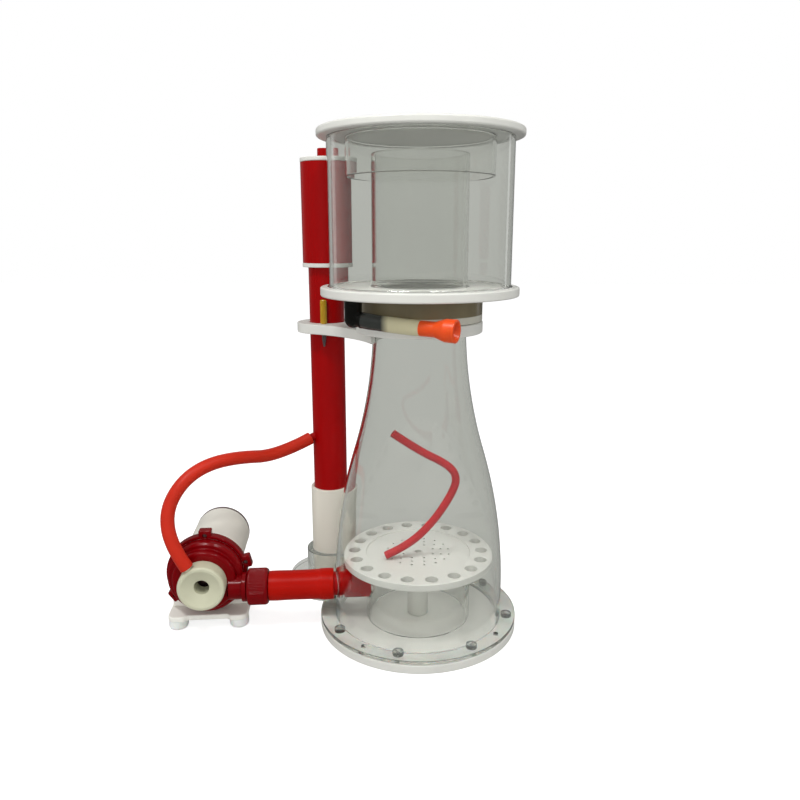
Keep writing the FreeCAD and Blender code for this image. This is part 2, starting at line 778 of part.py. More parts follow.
def drain_elbow():
    """Black elbow through the cup plate, with a stub towards the drain hose."""
    riser = cylinder(ELBOW_RADIUS, ELBOW_LOW, d.cup_plate_low, ELBOW_X, ELBOW_Y)
    heading = FreeCAD.Rotation(UP, FreeCAD.Vector(*[b - a for a, b in zip(ELBOW, DRAIN_ROUTE[0])]))
    reach = math.dist(ELBOW, DRAIN_ROUTE[0])
    stub = level_cylinder(d.drain_hose_radius, reach, *ELBOW, heading)
    bore = cylinder(ELBOW_BORE, ELBOW_LOW + ELBOW_WALL, CUP_FLOOR + BEYOND, ELBOW_X, ELBOW_Y)
    spigot = cylinder(SPIGOT_RADIUS, d.cup_plate_low - BEYOND, CUP_FLOOR, ELBOW_X, ELBOW_Y)
    return cut(fuse(riser, stub, spigot), bore)


def cup_plate():
    """Floor of the cup, with the foam opening and the drain hole."""
    plate = ring(d.cup_plate_radius, d.riser_radius, d.cup_plate_low, CUP_FLOOR)
    hole = cylinder(SPIGOT_RADIUS, d.cup_plate_low - BEYOND, CUP_FLOOR + BEYOND, ELBOW_X, ELBOW_Y)
    return cut(plate, hole)


def drain_plug():
    """Stopper on the end of the drain hose: a slim sleeve that widens to a hollow head."""
    plug = turned_corners((0, 0), (7.8, 0), (8, 11), (11.8, 20), (11.8, 33), (4.2, 33), (4.2, 14), (0, 14))
    heading = FreeCAD.Vector(*[b - a for a, b in zip(DRAIN_ROUTE[-2], DRAIN_ROUTE[-1])])
    return place(plug, *DRAIN_ROUTE[-1], FreeCAD.Rotation(UP, heading))


node(cup_collar(), "cup_collar")
node(neck_seal(), "neck_seal")
node(cup_plate(), "cup_plate")
node(ring(d.cup_radius, d.cup_radius - d.cup_wall, CUP_FLOOR, d.cup_top), "cup_wall")
node(ring(d.riser_radius, d.riser_radius - d.cup_wall, d.cup_plate_low, d.riser_top), "foam_riser")
node(cylinder(d.lid_radius, LID_LOW, LID_LOW + d.lid_thick), "lid")
node(ring(d.lid_collar, d.lid_collar - LID_COLLAR_WALL, d.lid_collar_low, LID_LOW), "lid_collar")
node(drain_elbow(), "drain_elbow")
node(drain_plug(), "drain_plug")


# ---------------------------------------------------------------- pump

AIR_NIPPLE_RADIUS = 4.5
AIR_NIPPLE_BORE = 2.5
AIR_NIPPLE_START = 23
NOZZLE_DISH = 6
NOZZLE_SPIGOT = 16
VOLUTE_FRONT = 14
VOLUTE_STEP = 24
VOLUTE_BACK = 40
VOLUTE_WALL = 3
VOLUTE_NOSE = 37
CAVITY_RADIUS = 30
SEAL_SEAT = 38
CLAMP_TURNS = (90, 15, 215)
CLAMP_FRONT = 36.6
CLAMP_BACK = 48
CLAMP_BORE = d.volute_radius + 0.05
CLAMP_SLIT_DROP = 12
CLAMP_SLIT_HALF = 1.2
LUG_START = 43
LUG_LONG = 11
LUG_WIDE = 15
CLAMP_SCREW_CIRCLE = 47.5
CLAMP_SCREW_RADIUS = 2
CLAMP_SCREW_HEAD = 3.1
OUTLET_STUB = 14.2
STUB_START = 28
STUB_END = 58
TAIL_FLANGE = 63
TAIL_END = 96
NUT_GAP = 0.3
NUT_END = 74
HOSE_END = 151
SHAFT_RADIUS = 2.5
WELL_RADIUS = 15
WELL_END = 112
MOTOR_FLANGE = 46
CAP_FRONT = d.motor_end - 5
BRACKET_LOW = 11.5
BRACKET_TOP = 18
FOOT_RADIUS = 11.5
FOOT_ROUND = 3
FOOT_SIDE = 36
FOOT_PLACES = (32, 128)
UPRIGHT_RADIUS = 45
UPRIGHT_FRONT = 48.2
UPRIGHT_THICK = 6


def on_axis(*corners):
    """A turned body on the pump axis; heights count from the pump's datum backwards."""
    return on_pump_axis(turned_corners(*corners))


def volute():
    """Stepped pump chamber with its outlet stub."""
    mouth = NOZZLE_SPIGOT + TINY
    shell = turned_corners(
        (mouth, VOLUTE_FRONT), (VOLUTE_NOSE, VOLUTE_FRONT), (VOLUTE_NOSE, VOLUTE_STEP),
        (d.volute_radius, VOLUTE_STEP), (d.volute_radius, VOLUTE_BACK), (mouth, VOLUTE_BACK),
    )
    whole = fuse(on_pump_axis(shell), outlet_rod(OUTLET_STUB, STUB_START, STUB_END - STUB_START))
    cavity = pump_rod(CAVITY_RADIUS, VOLUTE_FRONT + VOLUTE_WALL, VOLUTE_BACK, 0, 0)
    seal_seat = pump_rod(SEAL_SEAT + 0.05, SEAL_SEAT, VOLUTE_BACK, 0, 0)
    waterway = outlet_rod(WATERWAY, STUB_START, STUB_END - STUB_START + BEYOND)
    return cut(whole, cavity, seal_seat, waterway)


def intake_nozzle():
    """Dished intake with its bore and a seat for the air nipple."""
    face = 0 - d.nozzle_reach
    spigot_end = VOLUTE_FRONT + NOZZLE_DISH
    body = on_axis(
        (d.intake_bore, face + NOZZLE_DISH), (20, face + 1.5), (23, face), (26, face),
        (d.nozzle_radius, face + 2), (d.nozzle_radius, VOLUTE_FRONT),
        (NOZZLE_SPIGOT, VOLUTE_FRONT), (NOZZLE_SPIGOT, spigot_end), (d.intake_bore, spigot_end),
    )
    return cut(body, air_nipple_rod(AIR_NIPPLE_RADIUS, AIR_NIPPLE_START, 9))


def air_nipple_rod(radius, start, length):
    """A cylinder that leaves the nozzle's upper outer side."""
    x, y, z = pump_point(AIR_NIPPLE_ALONG, AIR_NIPPLE_OUT * start, AIR_NIPPLE_RISE * start)
    middle = pump_point(AIR_NIPPLE_ALONG, 0, 0)
    outward = FreeCAD.Vector(*[b.value - a.value for a, b in zip(middle, (x, y, z))])
    return level_cylinder(radius, length, x, y, z, FreeCAD.Rotation(UP, outward))


def clamp_ring():
    """Split ring with three lugs that clamps volute and motor together."""
    thick = CLAMP_BACK - CLAMP_FRONT
    body = on_axis(
        (CLAMP_BORE, CLAMP_FRONT), (d.clamp_radius, CLAMP_FRONT),
        (d.clamp_radius, CLAMP_BACK), (CLAMP_BORE, CLAMP_BACK),
    )
    lugs = [clamp_lug(turn) for turn in CLAMP_TURNS]
    hollow = pump_rod(CLAMP_BORE, CLAMP_FRONT - BEYOND, thick + 2 * BEYOND, 0, 0)
    slit_high = d.pump_z - CLAMP_SLIT_DROP
    slit = pump_box(
        0 - d.clamp_radius, 8, CLAMP_FRONT - BEYOND, thick + 2 * BEYOND,
        slit_high - CLAMP_SLIT_HALF, slit_high + CLAMP_SLIT_HALF,
    )
    hole = CLAMP_SCREW_RADIUS + TINY
    start = CLAMP_FRONT - BEYOND
    holes = [clamp_screw_rod(hole, start, thick + 2 * BEYOND, turn) for turn in CLAMP_TURNS]
    return cut(fuse(body, *lugs), hollow, slit, *holes)


def clamp_lug(turn):
    """Block on the clamp ring at one angle, counted from sideways up."""
    angle = math.radians(turn)
    level = FreeCAD.Rotation(UP, d.pump_yaw.value)
    upright = level * FreeCAD.Rotation(FreeCAD.Vector(0, 1, 0), -turn)
    corner_out = LUG_START * math.cos(angle) + LUG_WIDE / 2 * math.sin(angle)
    corner_rise = LUG_START * math.sin(angle) - LUG_WIDE / 2 * math.cos(angle)
    x, y, z = pump_point(CLAMP_FRONT, corner_out, corner_rise)
    return box(LUG_LONG, CLAMP_BACK - CLAMP_FRONT, LUG_WIDE, x, y, z, upright)


def clamp_screw_rod(radius, along, length, turn):
    """A cylinder on one clamp screw's axis."""
    angle = math.radians(turn)
    out, rise = CLAMP_SCREW_CIRCLE * math.cos(angle), CLAMP_SCREW_CIRCLE * math.sin(angle)
    return pump_rod(radius, along, length, out, rise)


def clamp_screws():
    """Screws in the clamp ring's lugs."""
    screws = []
    for turn in CLAMP_TURNS:
        head = clamp_screw_rod(CLAMP_SCREW_HEAD, CLAMP_FRONT - 2.5, 2.5, turn)
        screws.append(fuse(head, clamp_screw_rod(CLAMP_SCREW_RADIUS, CLAMP_FRONT - 1, 12, turn)))
    return group(*screws)


def impeller():
    """Needle wheel: a hub and a disc with rings of needles."""
    wheel = on_axis(
        (SHAFT_RADIUS, 24), (6, 24), (6, 34), (26, 34), (26, 37), (SHAFT_RADIUS, 37),
    )
    needles = []
    for circle, count in ((11, 8), (17, 12), (23, 16)):
        for index in range(count):
            angle = 2 * math.pi * index / count
            out, rise = circle * math.cos(angle), circle * math.sin(angle)
            needles.append(pump_rod(1.1, 23, 11.5, out, rise))
    return fuse(wheel, *needles)


def motor_housing():
    """Potted motor block with its front flange and the rotor well."""
    return on_axis(
        (WELL_RADIUS, VOLUTE_BACK), (d.volute_radius, VOLUTE_BACK), (d.volute_radius, MOTOR_FLANGE),
        (d.motor_radius, MOTOR_FLANGE), (d.motor_radius, CAP_FRONT), (0, CAP_FRONT),
        (0, WELL_END), (WELL_RADIUS, WELL_END),
    )


def union_nut():
    """Nut that holds the hose tail on the volute's stub."""
    wide, narrow = OUTLET_STUB + NUT_GAP, HOSE_BORE + NUT_GAP
    nut = turned_corners(
        (wide, 50), (d.nut_radius - 1, 50), (d.nut_radius, 52), (d.nut_radius, 71),
        (d.nut_radius - 1.5, NUT_END), (narrow, NUT_END), (narrow, TAIL_FLANGE + NUT_GAP),
        (wide, TAIL_FLANGE + NUT_GAP),
    )
    return on_outlet_axis(nut)


def hose_tail():
    """Flanged tail inside the nut, over which the pump hose is pushed."""
    tail = turned_corners(
        (WATERWAY, STUB_END), (OUTLET_STUB, STUB_END), (OUTLET_STUB, TAIL_FLANGE),
        (HOSE_BORE, TAIL_FLANGE), (HOSE_BORE, TAIL_END), (WATERWAY, TAIL_END),
    )
    return on_outlet_axis(tail)


def pump_hose():
    """Silicone sleeve from the pump's tail to the chamber's inlet pipe."""
    low = NUT_END + 0.5
    swell = d.hose_radius + 1
    hose = turned_corners(
        (HOSE_BORE, low), (d.hose_radius, low), (d.hose_radius, 132), (swell, 136),
        (swell, 149), (d.hose_radius, HOSE_END), (HOSE_BORE, HOSE_END),
    )
    return on_outlet_axis(hose)


def bracket_foot(x, y):
    """Round rubber foot with a rounded lower edge."""
    flat = FOOT_RADIUS - FOOT_ROUND
    foot = turned([
        line_to(flat, 0),
        arc_to(FOOT_RADIUS, FOOT_ROUND, (flat, FOOT_ROUND), FOOT_ROUND, True),
        line_to(FOOT_RADIUS, BRACKET_LOW),
        line_to(0, BRACKET_LOW),
        line_to(0, 0),
    ])
    return place(foot, x, y, 0)


def bracket_upright():
    """Plate behind the clamp ring that carries the motor on the bracket."""
    round_top = pump_rod(UPRIGHT_RADIUS, UPRIGHT_FRONT, UPRIGHT_THICK, 0, 0)
    lower = pump_box(
        -UPRIGHT_RADIUS, 2 * UPRIGHT_RADIUS, UPRIGHT_FRONT, UPRIGHT_THICK, BRACKET_TOP, d.pump_z,
    )
    hole = pump_rod(d.motor_radius, UPRIGHT_FRONT - BEYOND, UPRIGHT_THICK + 2 * BEYOND, 0, 0)
    return cut(fuse(round_top, lower), hole)


def bracket_feet():
    """Four feet under the bracket plate."""
    feet = []
    for along in FOOT_PLACES:
        for out in (-FOOT_SIDE, FOOT_SIDE):
            x, y, _ = pump_point(along, out, 0)
            feet.append(bracket_foot(x, y))
    return group(*feet)


def air_nipple():
    """Hollow nipple on the nozzle's side, over which the air hose is pushed."""
    outer = air_nipple_rod(AIR_NIPPLE_RADIUS, AIR_NIPPLE_START, AIR_NIPPLE_END - AIR_NIPPLE_START)
    return cut(outer, air_nipple_rod(AIR_NIPPLE_BORE, AIR_NIPPLE_START - BEYOND, 8))


node(intake_nozzle(), "intake_nozzle")
node(air_nipple(), "air_nipple")
node(volute(), "volute")
seal_corners = ((33, 38), (SEAL_SEAT, 38), (SEAL_SEAT, VOLUTE_BACK), (33, VOLUTE_BACK))
node(on_axis(*seal_corners), "volute_seal")
node(clamp_ring(), "clamp_ring")
node(clamp_screws(), "clamp_screws")
node(impeller(), "impeller")
node(pump_rod(SHAFT_RADIUS, 22, 88, 0, 0), "rotor_shaft")
node(on_axis((SHAFT_RADIUS, 50), (14, 50), (14, 100), (SHAFT_RADIUS, 100)), "rotor_magnet")
bearing_bore = SHAFT_RADIUS + 0.06
node(on_axis((bearing_bore, 41), (WELL_RADIUS, 41), (WELL_RADIUS, 47), (bearing_bore, 47)), "front_bearing")
node(on_axis((bearing_bore, 104), (WELL_RADIUS, 104), (WELL_RADIUS, 111), (bearing_bore, 111)),
     "rear_bearing")
node(motor_housing(), "motor_housing")
node(pump_rod(d.motor_radius, CAP_FRONT, d.motor_end - CAP_FRONT, 0, 0), "motor_end_cap")
node(pump_rod(6, d.motor_end, 10, 0, 18), "cable_gland")
node(union_nut(), "union_nut")
node(hose_tail(), "hose_tail")
node(pump_hose(), "pump_hose")
node(bracket_upright(), "bracket_upright")
node(pump_box(-47, 94, 20, 120, BRACKET_LOW, BRACKET_TOP), "bracket_plate")
node(bracket_feet(), "bracket_feet")


# ---------------------------------------------------------------- free hoses

def hose(name, route, radius):
    """A plain tube along straight runs joined by arcs as large as the runs allow."""
    corners = [FreeCAD.Vector(*point) for point in route]
    edges = []
    start = corners[0]
    radii = []
    for before, corner, after in zip(corners, corners[1:], corners[2:]):
        arriving = corner - before
        leaving = after - corner
        half_turn = arriving.getAngle(leaving) / 2
        setback = 0.45 * min(arriving.Length, leaving.Length)
        radii.append(round(setback / math.tan(half_turn), 1))
        arc_start = corner - arriving.normalize() * setback
        arc_end = corner + leaving.normalize() * setback
        middle = (arc_start + arc_end) / 2
        rise = setback / math.tan(half_turn) * (1 - math.cos(half_turn))
        on_arc = middle + (corner - middle).normalize() * rise
        edges.append(Part.LineSegment(start, arc_start).toShape())
        edges.append(Part.Arc(arc_start, on_arc, arc_end).toShape())
        start = arc_end
    edges.append(Part.LineSegment(start, corners[-1]).toShape())
    path = Part.Wire(edges)
    facing = corners[1] - corners[0]
    end_face = Part.Wire([Part.makeCircle(radius.value, corners[0], facing)])
    tube = doc.addObject("Part::Feature", "Tube")
    tube.Shape = path.makePipeShell([end_face], True, False)
    expected = math.pi * radius.value ** 2 * path.Length
    ratio = round(tube.Shape.Volume / expected, 4)
    print(name, "length", round(path.Length, 1), "radii", radii, "volume ratio", ratio)
    return node(tube, name)


hose("air_hose", AIR_ROUTE, d.air_hose_radius)
hose("drain_hose", DRAIN_ROUTE, d.drain_hose_radius)
hose("spare_hose", SPARE_ROUTE, d.spare_hose_radius)


# ---------------------------------------------------------------- check and export

doc.recompute()
for thing in doc.Objects:
    if "Invalid" in thing.State or "Error" in thing.State:
        raise RuntimeError(f"{thing.Name} ({thing.Label}) did not recompute: {thing.State}")
os.makedirs("parts", exist_ok=True)
for thing in nodes:
    if thing.Shape.isNull() or not thing.Shape.isValid():
        raise RuntimeError(f"{thing.Label} has no valid shape")
    thing.Shape.exportStep(os.path.join("parts", thing.Label + ".step"))
    print(f"{thing.Label:18s} solids {len(thing.Shape.Solids)} volume {thing.Shape.Volume / 1000:8.1f} cm3")
print(len(nodes), "nodes")
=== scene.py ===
"""Looks of a protein skimmer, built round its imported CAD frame.

Lengths are millimetres, except in hoses, camera, floor and lamps, which are in metres.
"""
import json
import math

import bmesh
import bpy
from mathutils import Matrix, Vector


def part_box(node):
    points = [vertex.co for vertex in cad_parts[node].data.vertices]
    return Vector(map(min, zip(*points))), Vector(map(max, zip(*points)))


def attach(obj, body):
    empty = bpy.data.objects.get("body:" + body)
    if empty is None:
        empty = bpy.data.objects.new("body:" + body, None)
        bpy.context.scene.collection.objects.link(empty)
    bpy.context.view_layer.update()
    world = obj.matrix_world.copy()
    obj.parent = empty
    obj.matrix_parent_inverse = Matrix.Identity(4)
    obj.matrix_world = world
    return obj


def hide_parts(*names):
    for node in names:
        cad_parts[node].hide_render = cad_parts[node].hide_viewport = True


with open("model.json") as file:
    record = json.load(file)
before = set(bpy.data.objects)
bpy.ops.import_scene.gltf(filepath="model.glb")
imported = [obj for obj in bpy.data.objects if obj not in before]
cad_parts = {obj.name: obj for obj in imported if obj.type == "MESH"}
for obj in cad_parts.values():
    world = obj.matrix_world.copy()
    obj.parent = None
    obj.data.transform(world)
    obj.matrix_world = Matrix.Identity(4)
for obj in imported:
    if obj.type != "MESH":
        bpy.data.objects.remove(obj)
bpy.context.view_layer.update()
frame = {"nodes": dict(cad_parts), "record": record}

record = frame["record"]
BODY_OF = {node: body for body, nodes in record["behaviour"]["bodies"].items() for node in nodes}
MM = 0.001  # metres in a millimetre
ROUND = 160  # segments of a round outline
GAP = 0.06  # play left between two pieces that touch, in millimetres
WELD = 0.0005  # vertices nearer than this become one, in millimetres
TINY = 0.002  # a rounding smaller than this is left out, in millimetres
SHARP = 32  # edges that turn by more degrees than this stay sharp
NOISE_LOW, NOISE_HIGH = 0.3, 0.7  # nearly all of a noise lies between these
PATCH_LOW, PATCH_HIGH = 0.32, 0.68  # where the patches of two shades reach their own colours
UP = Vector((0, 0, 1))


# ---- camera ----

def make_camera():
    """Camera at the photograph's angle, in metres and radians."""
    dip, yaw = 0.2278, 0.0272
    data = bpy.data.cameras.new("camera")
    camera = world_object("camera", data)
    camera.location = (0, -0.80017, 0.46084)
    camera.rotation_euler = (math.pi / 2 - dip, 0, yaw)
    data.sensor_width = 36
    data.lens = 32.17
    data.clip_start = 0.01
    data.clip_end = 50
    bpy.context.scene.camera = camera


# ---- meshes ----

def world_object(name, data):
    """A new object with its data, at the origin."""
    thing = bpy.data.objects.new(name, data)
    bpy.context.scene.collection.objects.link(thing)
    return thing


def finish_mesh(name, shape, matrix=None):
    """Turn a bmesh in millimetres into an object in metres."""
    bmesh.ops.remove_doubles(shape, verts=shape.verts, dist=WELD)
    bmesh.ops.recalc_face_normals(shape, faces=shape.faces)
    shape.transform((matrix or Matrix()) @ Matrix.Scale(MM, 4))
    return object_from(name, shape, SHARP)


def object_from(name, shape, sharp):
    """Turn a bmesh in metres into an object, with smooth faces between sharp edges."""
    mesh = bpy.data.meshes.new(name)
    shape.to_mesh(mesh)
    shape.free()
    thing = world_object(name, mesh)
    smooth(thing, sharp)
    return thing


def smooth(thing, sharp=SHARP):
    """Smooth faces with sharp edges kept, and normals weighted by face area."""
    mesh = thing.data
    mesh.polygons.foreach_set("use_smooth", [True] * len(mesh.polygons))
    mesh.set_sharp_from_angle(angle=math.radians(sharp))
    weighted = thing.modifiers.new("weighted", "WEIGHTED_NORMAL")
    weighted.keep_sharp = True
    weighted.weight = 90


def rounded(corners, closed=True, steps=5):
    """An outline whose corners (x, y, radius) are rounded; a corner of two numbers stays sharp."""
    count = len(corners)
    points = []
    for index, corner in enumerate(corners):
        here = Vector(corner[:2])
        fillet = corner[2] if len(corner) > 2 else 0
        ends = not closed and index in (0, count - 1)
        if ends or not fillet:
            points.append(here)
            continue
        before = Vector(corners[index - 1][:2]) - here
        after = Vector(corners[(index + 1) % count][:2]) - here
        half = before.angle(after) / 2
        room = 0.49 * min(before.length, after.length)
        setback = min(fillet / math.tan(half), room)
        if setback < TINY:
            points.append(here)
            continue
        fillet = setback * math.tan(half)
        centre = here + (before.normalized() + after.normalized()).normalized() * (fillet / math.sin(half))
        first = here + before.normalized() * setback - centre
        last = here + after.normalized() * setback - centre
        turn = first.angle_signed(last)
        for step in range(steps + 1):
            spoke = first.copy()
            spoke.rotate(Matrix.Rotation(-turn * step / steps, 2))
            points.append(centre + spoke)
    return points


def lathe(name, corners, matrix=None, closed=True, segments=ROUND, relief=None, steps=5):
    """A body turned about Z from an outline of (radius, height, rounding); open outlines end on the axis."""
    outline = rounded(corners, closed, steps)
    shape = bmesh.new()
    rings = []
    for radius, height in outline:
        if radius < WELD:
            rings.append([shape.verts.new((0, 0, height))] * segments)
            continue
        spin = []
        for index in range(segments):
            angle = 2 * math.pi * index / segments
            reach = radius + (relief(angle, radius, height) if relief else 0)
            spin.append(shape.verts.new((reach * math.cos(angle), reach * math.sin(angle), height)))
        rings.append(spin)
    pairs = list(zip(rings, rings[1:]))
    if closed:
        pairs.append((rings[-1], rings[0]))
    for low, high in pairs:
        for index in range(segments):
            after = (index + 1) % segments
            loop = []
            for corner in (low[index], low[after], high[after], high[index]):
                if corner not in loop:
                    loop.append(corner)
            if len(loop) > 2:
                shape.faces.new(loop)
    return finish_mesh(name, shape, matrix)


def round_tube(name, outer, inner, low, high, edge, fine, matrix=None, segments=ROUND):
    """A round tube, with one rounding at its outer edges and another at its inner ones."""
    corners = [(outer, low, edge), (outer, high, edge), (inner, high, fine), (inner, low, fine)]
    return lathe(name, corners, matrix, True, segments)


def circle(radius, x=0, y=0, count=ROUND):
    """Points of a circle."""
    turn = 2 * math.pi / count
    return [(x + radius * math.cos(turn * i), y + radius * math.sin(turn * i)) for i in range(count)]


def arc(radius, x, y, first, last, count=48):
    """Points of an arc between two angles in radians."""
    turns = [first + (last - first) * i / count for i in range(count + 1)]
    return [(x + radius * math.cos(turn), y + radius * math.sin(turn)) for turn in turns]


def plate(name, outlines, low, high, edge, matrix=None, steps=2):
    """A flat plate with holes and rounded edges, from closed outlines in its own XY plane."""
    data = bpy.data.curves.new(name, "CURVE")
    data.dimensions = "2D"
    data.fill_mode = "BOTH"
    data.extrude = (high - low) / 2 - edge
    data.bevel_depth = edge
    data.bevel_resolution = steps
    data.offset = -edge
    for points in outlines:
        spline = data.splines.new("POLY")
        spline.points.add(len(points) - 1)
        for place, (x, y) in zip(spline.points, points):
            place.co = (x, y, 0, 1)
        spline.use_cyclic_u = True
    maker = world_object(name + "_maker", data)
    mesh = read_mesh(maker)
    shape = bmesh.new()
    shape.from_mesh(mesh)
    bpy.data.meshes.remove(mesh)
    shape.transform(Matrix.Translation((0, 0, (low + high) / 2)))
    return finish_mesh(name, shape, matrix)


def shown_mesh(thing):
    """A copy of the mesh that an object shows."""
    bpy.context.view_layer.update()
    graph = bpy.context.evaluated_depsgraph_get()
    return bpy.data.meshes.new_from_object(thing.evaluated_get(graph))


def read_mesh(maker):
    """The mesh that a curve object shows; the object and its curve are removed."""
    mesh = shown_mesh(maker)
    data = maker.data
    bpy.data.objects.remove(maker)
    bpy.data.curves.remove(data)
    return mesh


def block(name, corner, size, matrix, edge):
    """A block with rounded edges."""
    shape = bmesh.new()
    bmesh.ops.create_cube(shape, size=1)
    middle = [c + s / 2 for c, s in zip(corner, size)]
    shape.transform(Matrix.Translation(middle) @ Matrix.Diagonal((*size, 1)))
    bmesh.ops.bevel(shape, geom=shape.edges[:], offset=edge, segments=4, profile=0.5, affect="EDGES")
    return finish_mesh(name, shape, matrix)


def rod(name, radius, low, high, matrix, edge, segments):
    """A solid rod along Z with rounded ends."""
    corners = [(0, low), (radius, low, edge), (radius, high, edge), (0, high)]
    return lathe(name, corners, matrix, closed=False, segments=segments, steps=3)


def combine(operation, thing, *tools):
    """Join or cut a piece with tools, which are then removed."""
    for tool in tools:
        step = thing.modifiers.new("combine", "BOOLEAN")
        step.operation = operation
        step.solver = "EXACT"
        step.object = tool
    weighted = thing.modifiers.get("weighted")
    if weighted:
        thing.modifiers.remove(weighted)
    mesh = shown_mesh(thing)
    thing.modifiers.clear()
    thing.data = mesh
    for tool in tools:
        bpy.data.objects.remove(tool)
    smooth(thing)
    return thing


def cut(thing, *tools):
    """The piece less the tools."""
    return combine("DIFFERENCE", thing, *tools)


def join(thing, *others):
    """The piece and the others as one solid."""
    return combine("UNION", thing, *others)


def gather(thing, *others):
    """Several separate solids as one piece."""
    shape = bmesh.new()
    for one in (thing, *others):
        shape.from_mesh(one.data)
    shape.to_mesh(thing.data)
    shape.free()
    for one in others:
        bpy.data.objects.remove(one)
    smooth(thing)
    return thing


def soften(thing, width):
    """Break the sharp edges of a piece, before its normals are weighted."""
    edge = thing.modifiers.new("soften", "BEVEL")
    edge.width = width * MM
    edge.segments = 2
    edge.limit_method = "ANGLE"
    edge.angle_limit = math.radians(35)
    thing.modifiers.move(len(thing.modifiers) - 1, 0)
    return thing


def frame_at(origin, along, side):
    """A frame at a point in millimetres: Z runs along, X leans to the side."""
    z = Vector(along).normalized()
    x = Vector(side)
    x = (x - z * x.dot(z)).normalized()
    y = z.cross(x)
    turned = Matrix((x, y, z)).transposed().to_4x4()
    return Matrix.Translation(Vector(origin) * MM) @ turned


def frame_on(route, before, after, at, back=0):
    """A frame at one point of a route, along the stretch between two, moved back by some millimetres."""
    way = (Vector(route[after]) - Vector(route[before])).normalized()
    return frame_at(Vector(route[at]) / MM - way * back, way, UP)


def moved(matrix, x=0, y=0, z=0):
    """A frame moved by millimetres in its own directions."""
    return matrix @ Matrix.Translation(Vector((x, y, z)) * MM)


def upright(x, y):
    """A frame standing at a place on the floor."""
    return Matrix.Translation((x * MM, y * MM, 0))


def axis_of(node):
    """Where an upright round node stands on the floor."""
    low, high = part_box(node)
    return (low[0] + high[0]) / 2 / MM, (low[1] + high[1]) / 2 / MM


def around(radius, count, first):
    """Places on a circle, counted from the front towards +X."""
    spots = []
    for index in range(count):
        angle = math.radians(first + 360 / count * index - 90)
        spots.append((radius * math.cos(angle), radius * math.sin(angle)))
    return spots


# ---- hoses ----

CURVE_STEPS = 24  # points of a curve for each stretch between two control points
LIP_STEPS = 5  # steps of the rounding at a hose's end
INNER_LIP = 0.4  # rounding inside a hose's end, as a share of the one outside
HOSE_SHARP = 50  # edges of a hose that turn by more degrees than this stay sharp


def spline_curve(name, route):
    """A NURBS curve with the route's points, in metres, as its control points."""
    data = bpy.data.curves.new(name, "CURVE")
    data.dimensions = "3D"
    spline = data.splines.new("NURBS")
    spline.points.add(len(route) - 1)
    for place, point in zip(spline.points, route):
        place.co = (*point, 1)
    spline.order_u = 3
    spline.use_endpoint_u = True
    spline.resolution_u = CURVE_STEPS
    data.resolution_u = CURVE_STEPS
    return data


def centreline(route):
    """Points along the route's NURBS spline, in metres."""
    mesh = read_mesh(world_object("centreline", spline_curve("centreline", route)))
    points = [vert.co.copy() for vert in mesh.vertices]
    bpy.data.meshes.remove(mesh)
    return points


def travelled(points):
    """Distance from the start at each point."""
    far = [0.0]
    for before, here in zip(points, points[1:]):
        far.append(far[-1] + (here - before).length)
    return far


def sleeve(name, points, bore, radius, count=40, end=0.0008):
    """A hollow tube along points, in metres; bore and radius depend on the distance from each end."""
    far = travelled(points)
    total = far[-1]
    shape = bmesh.new()
    side = (points[1] - points[0]).normalized().orthogonal().normalized()
    turned = []
    for index, point in enumerate(points):
        before = points[max(index - 1, 0)]
        after = points[min(index + 1, len(points) - 1)]
        way = (after - before).normalized()
        side = (side - way * side.dot(way)).normalized()
        turned.append((point, way, side, far[index]))

    def ring(station, reach):
        point, way, lean, _ = station
        across = way.cross(lean)
        spin = []
        for step in range(count):
            angle = 2 * math.pi * step / count
            spin.append(shape.verts.new(point + (lean * math.cos(angle) + across * math.sin(angle)) * reach))
        return spin

    def lip(station, inward, outer, inner):
        point, way, lean, reached = station
        loops = []
        for step in range(1, LIP_STEPS):
            angle = math.pi / 2 / LIP_STEPS * step
            shift = way * inward * end * (1 - math.sin(angle))
            loops.append(ring((point + shift, way, lean, reached), outer - end * (1 - math.cos(angle))))
        loops.append(ring(station, outer - end))
        loops.append(ring(station, inner + end * INNER_LIP))
        return loops

    first, last = turned[0], turned[-1]
    body = [s for s in turned if end < s[3] < total - end]
    start_outer, start_inner = radius(0.0, total), bore(0.0, total)
    end_outer, end_inner = radius(total, 0.0), bore(total, 0.0)
    rings = [ring(s, radius(s[3], total - s[3])) for s in body]
    rings += lip(last, -1, end_outer, end_inner)
    rings += [ring(s, bore(s[3], total - s[3])) for s in reversed(body)]
    rings += list(reversed(lip(first, 1, start_outer, start_inner)))
    for low, high in zip(rings, rings[1:] + rings[:1]):
        for index in range(count):
            after = (index + 1) % count
            shape.faces.new((low[index], low[after], high[after], high[index]))
    bmesh.ops.recalc_face_normals(shape, faces=shape.faces)
    return object_from(name, shape, HOSE_SHARP)


# ---- materials ----

MATERIALS = {}
COLLAR_PAINTED_LIGHT_TOP = 0.3755  # height up to which the cup's white collar gets a lighter colour, a painted highlight along its lip
BARB_END = -0.0355  # X up to which the elbow's barb shows through the drain hose


def add_node(tree, kind, **values):
    """A new node with values set on its own inputs."""
    node = tree.nodes.new("ShaderNode" + kind)
    set_inputs(node, values)
    return node


def set_inputs(node, values):
    """Set inputs by name, with _ for a space."""
    for socket, value in values.items():
        node.inputs[socket.replace("_", " ")].default_value = value


def new_material(name):
    """A material on the list, with its shader and its output."""
    material = bpy.data.materials.new(name)
    MATERIALS[name] = material
    material.use_nodes = True
    tree = material.node_tree
    tree.nodes.clear()
    output = add_node(tree, "OutputMaterial")
    shader = add_node(tree, "BsdfPrincipled")
    tree.links.new(shader.outputs[0], output.inputs["Surface"])
    return material, shader, output


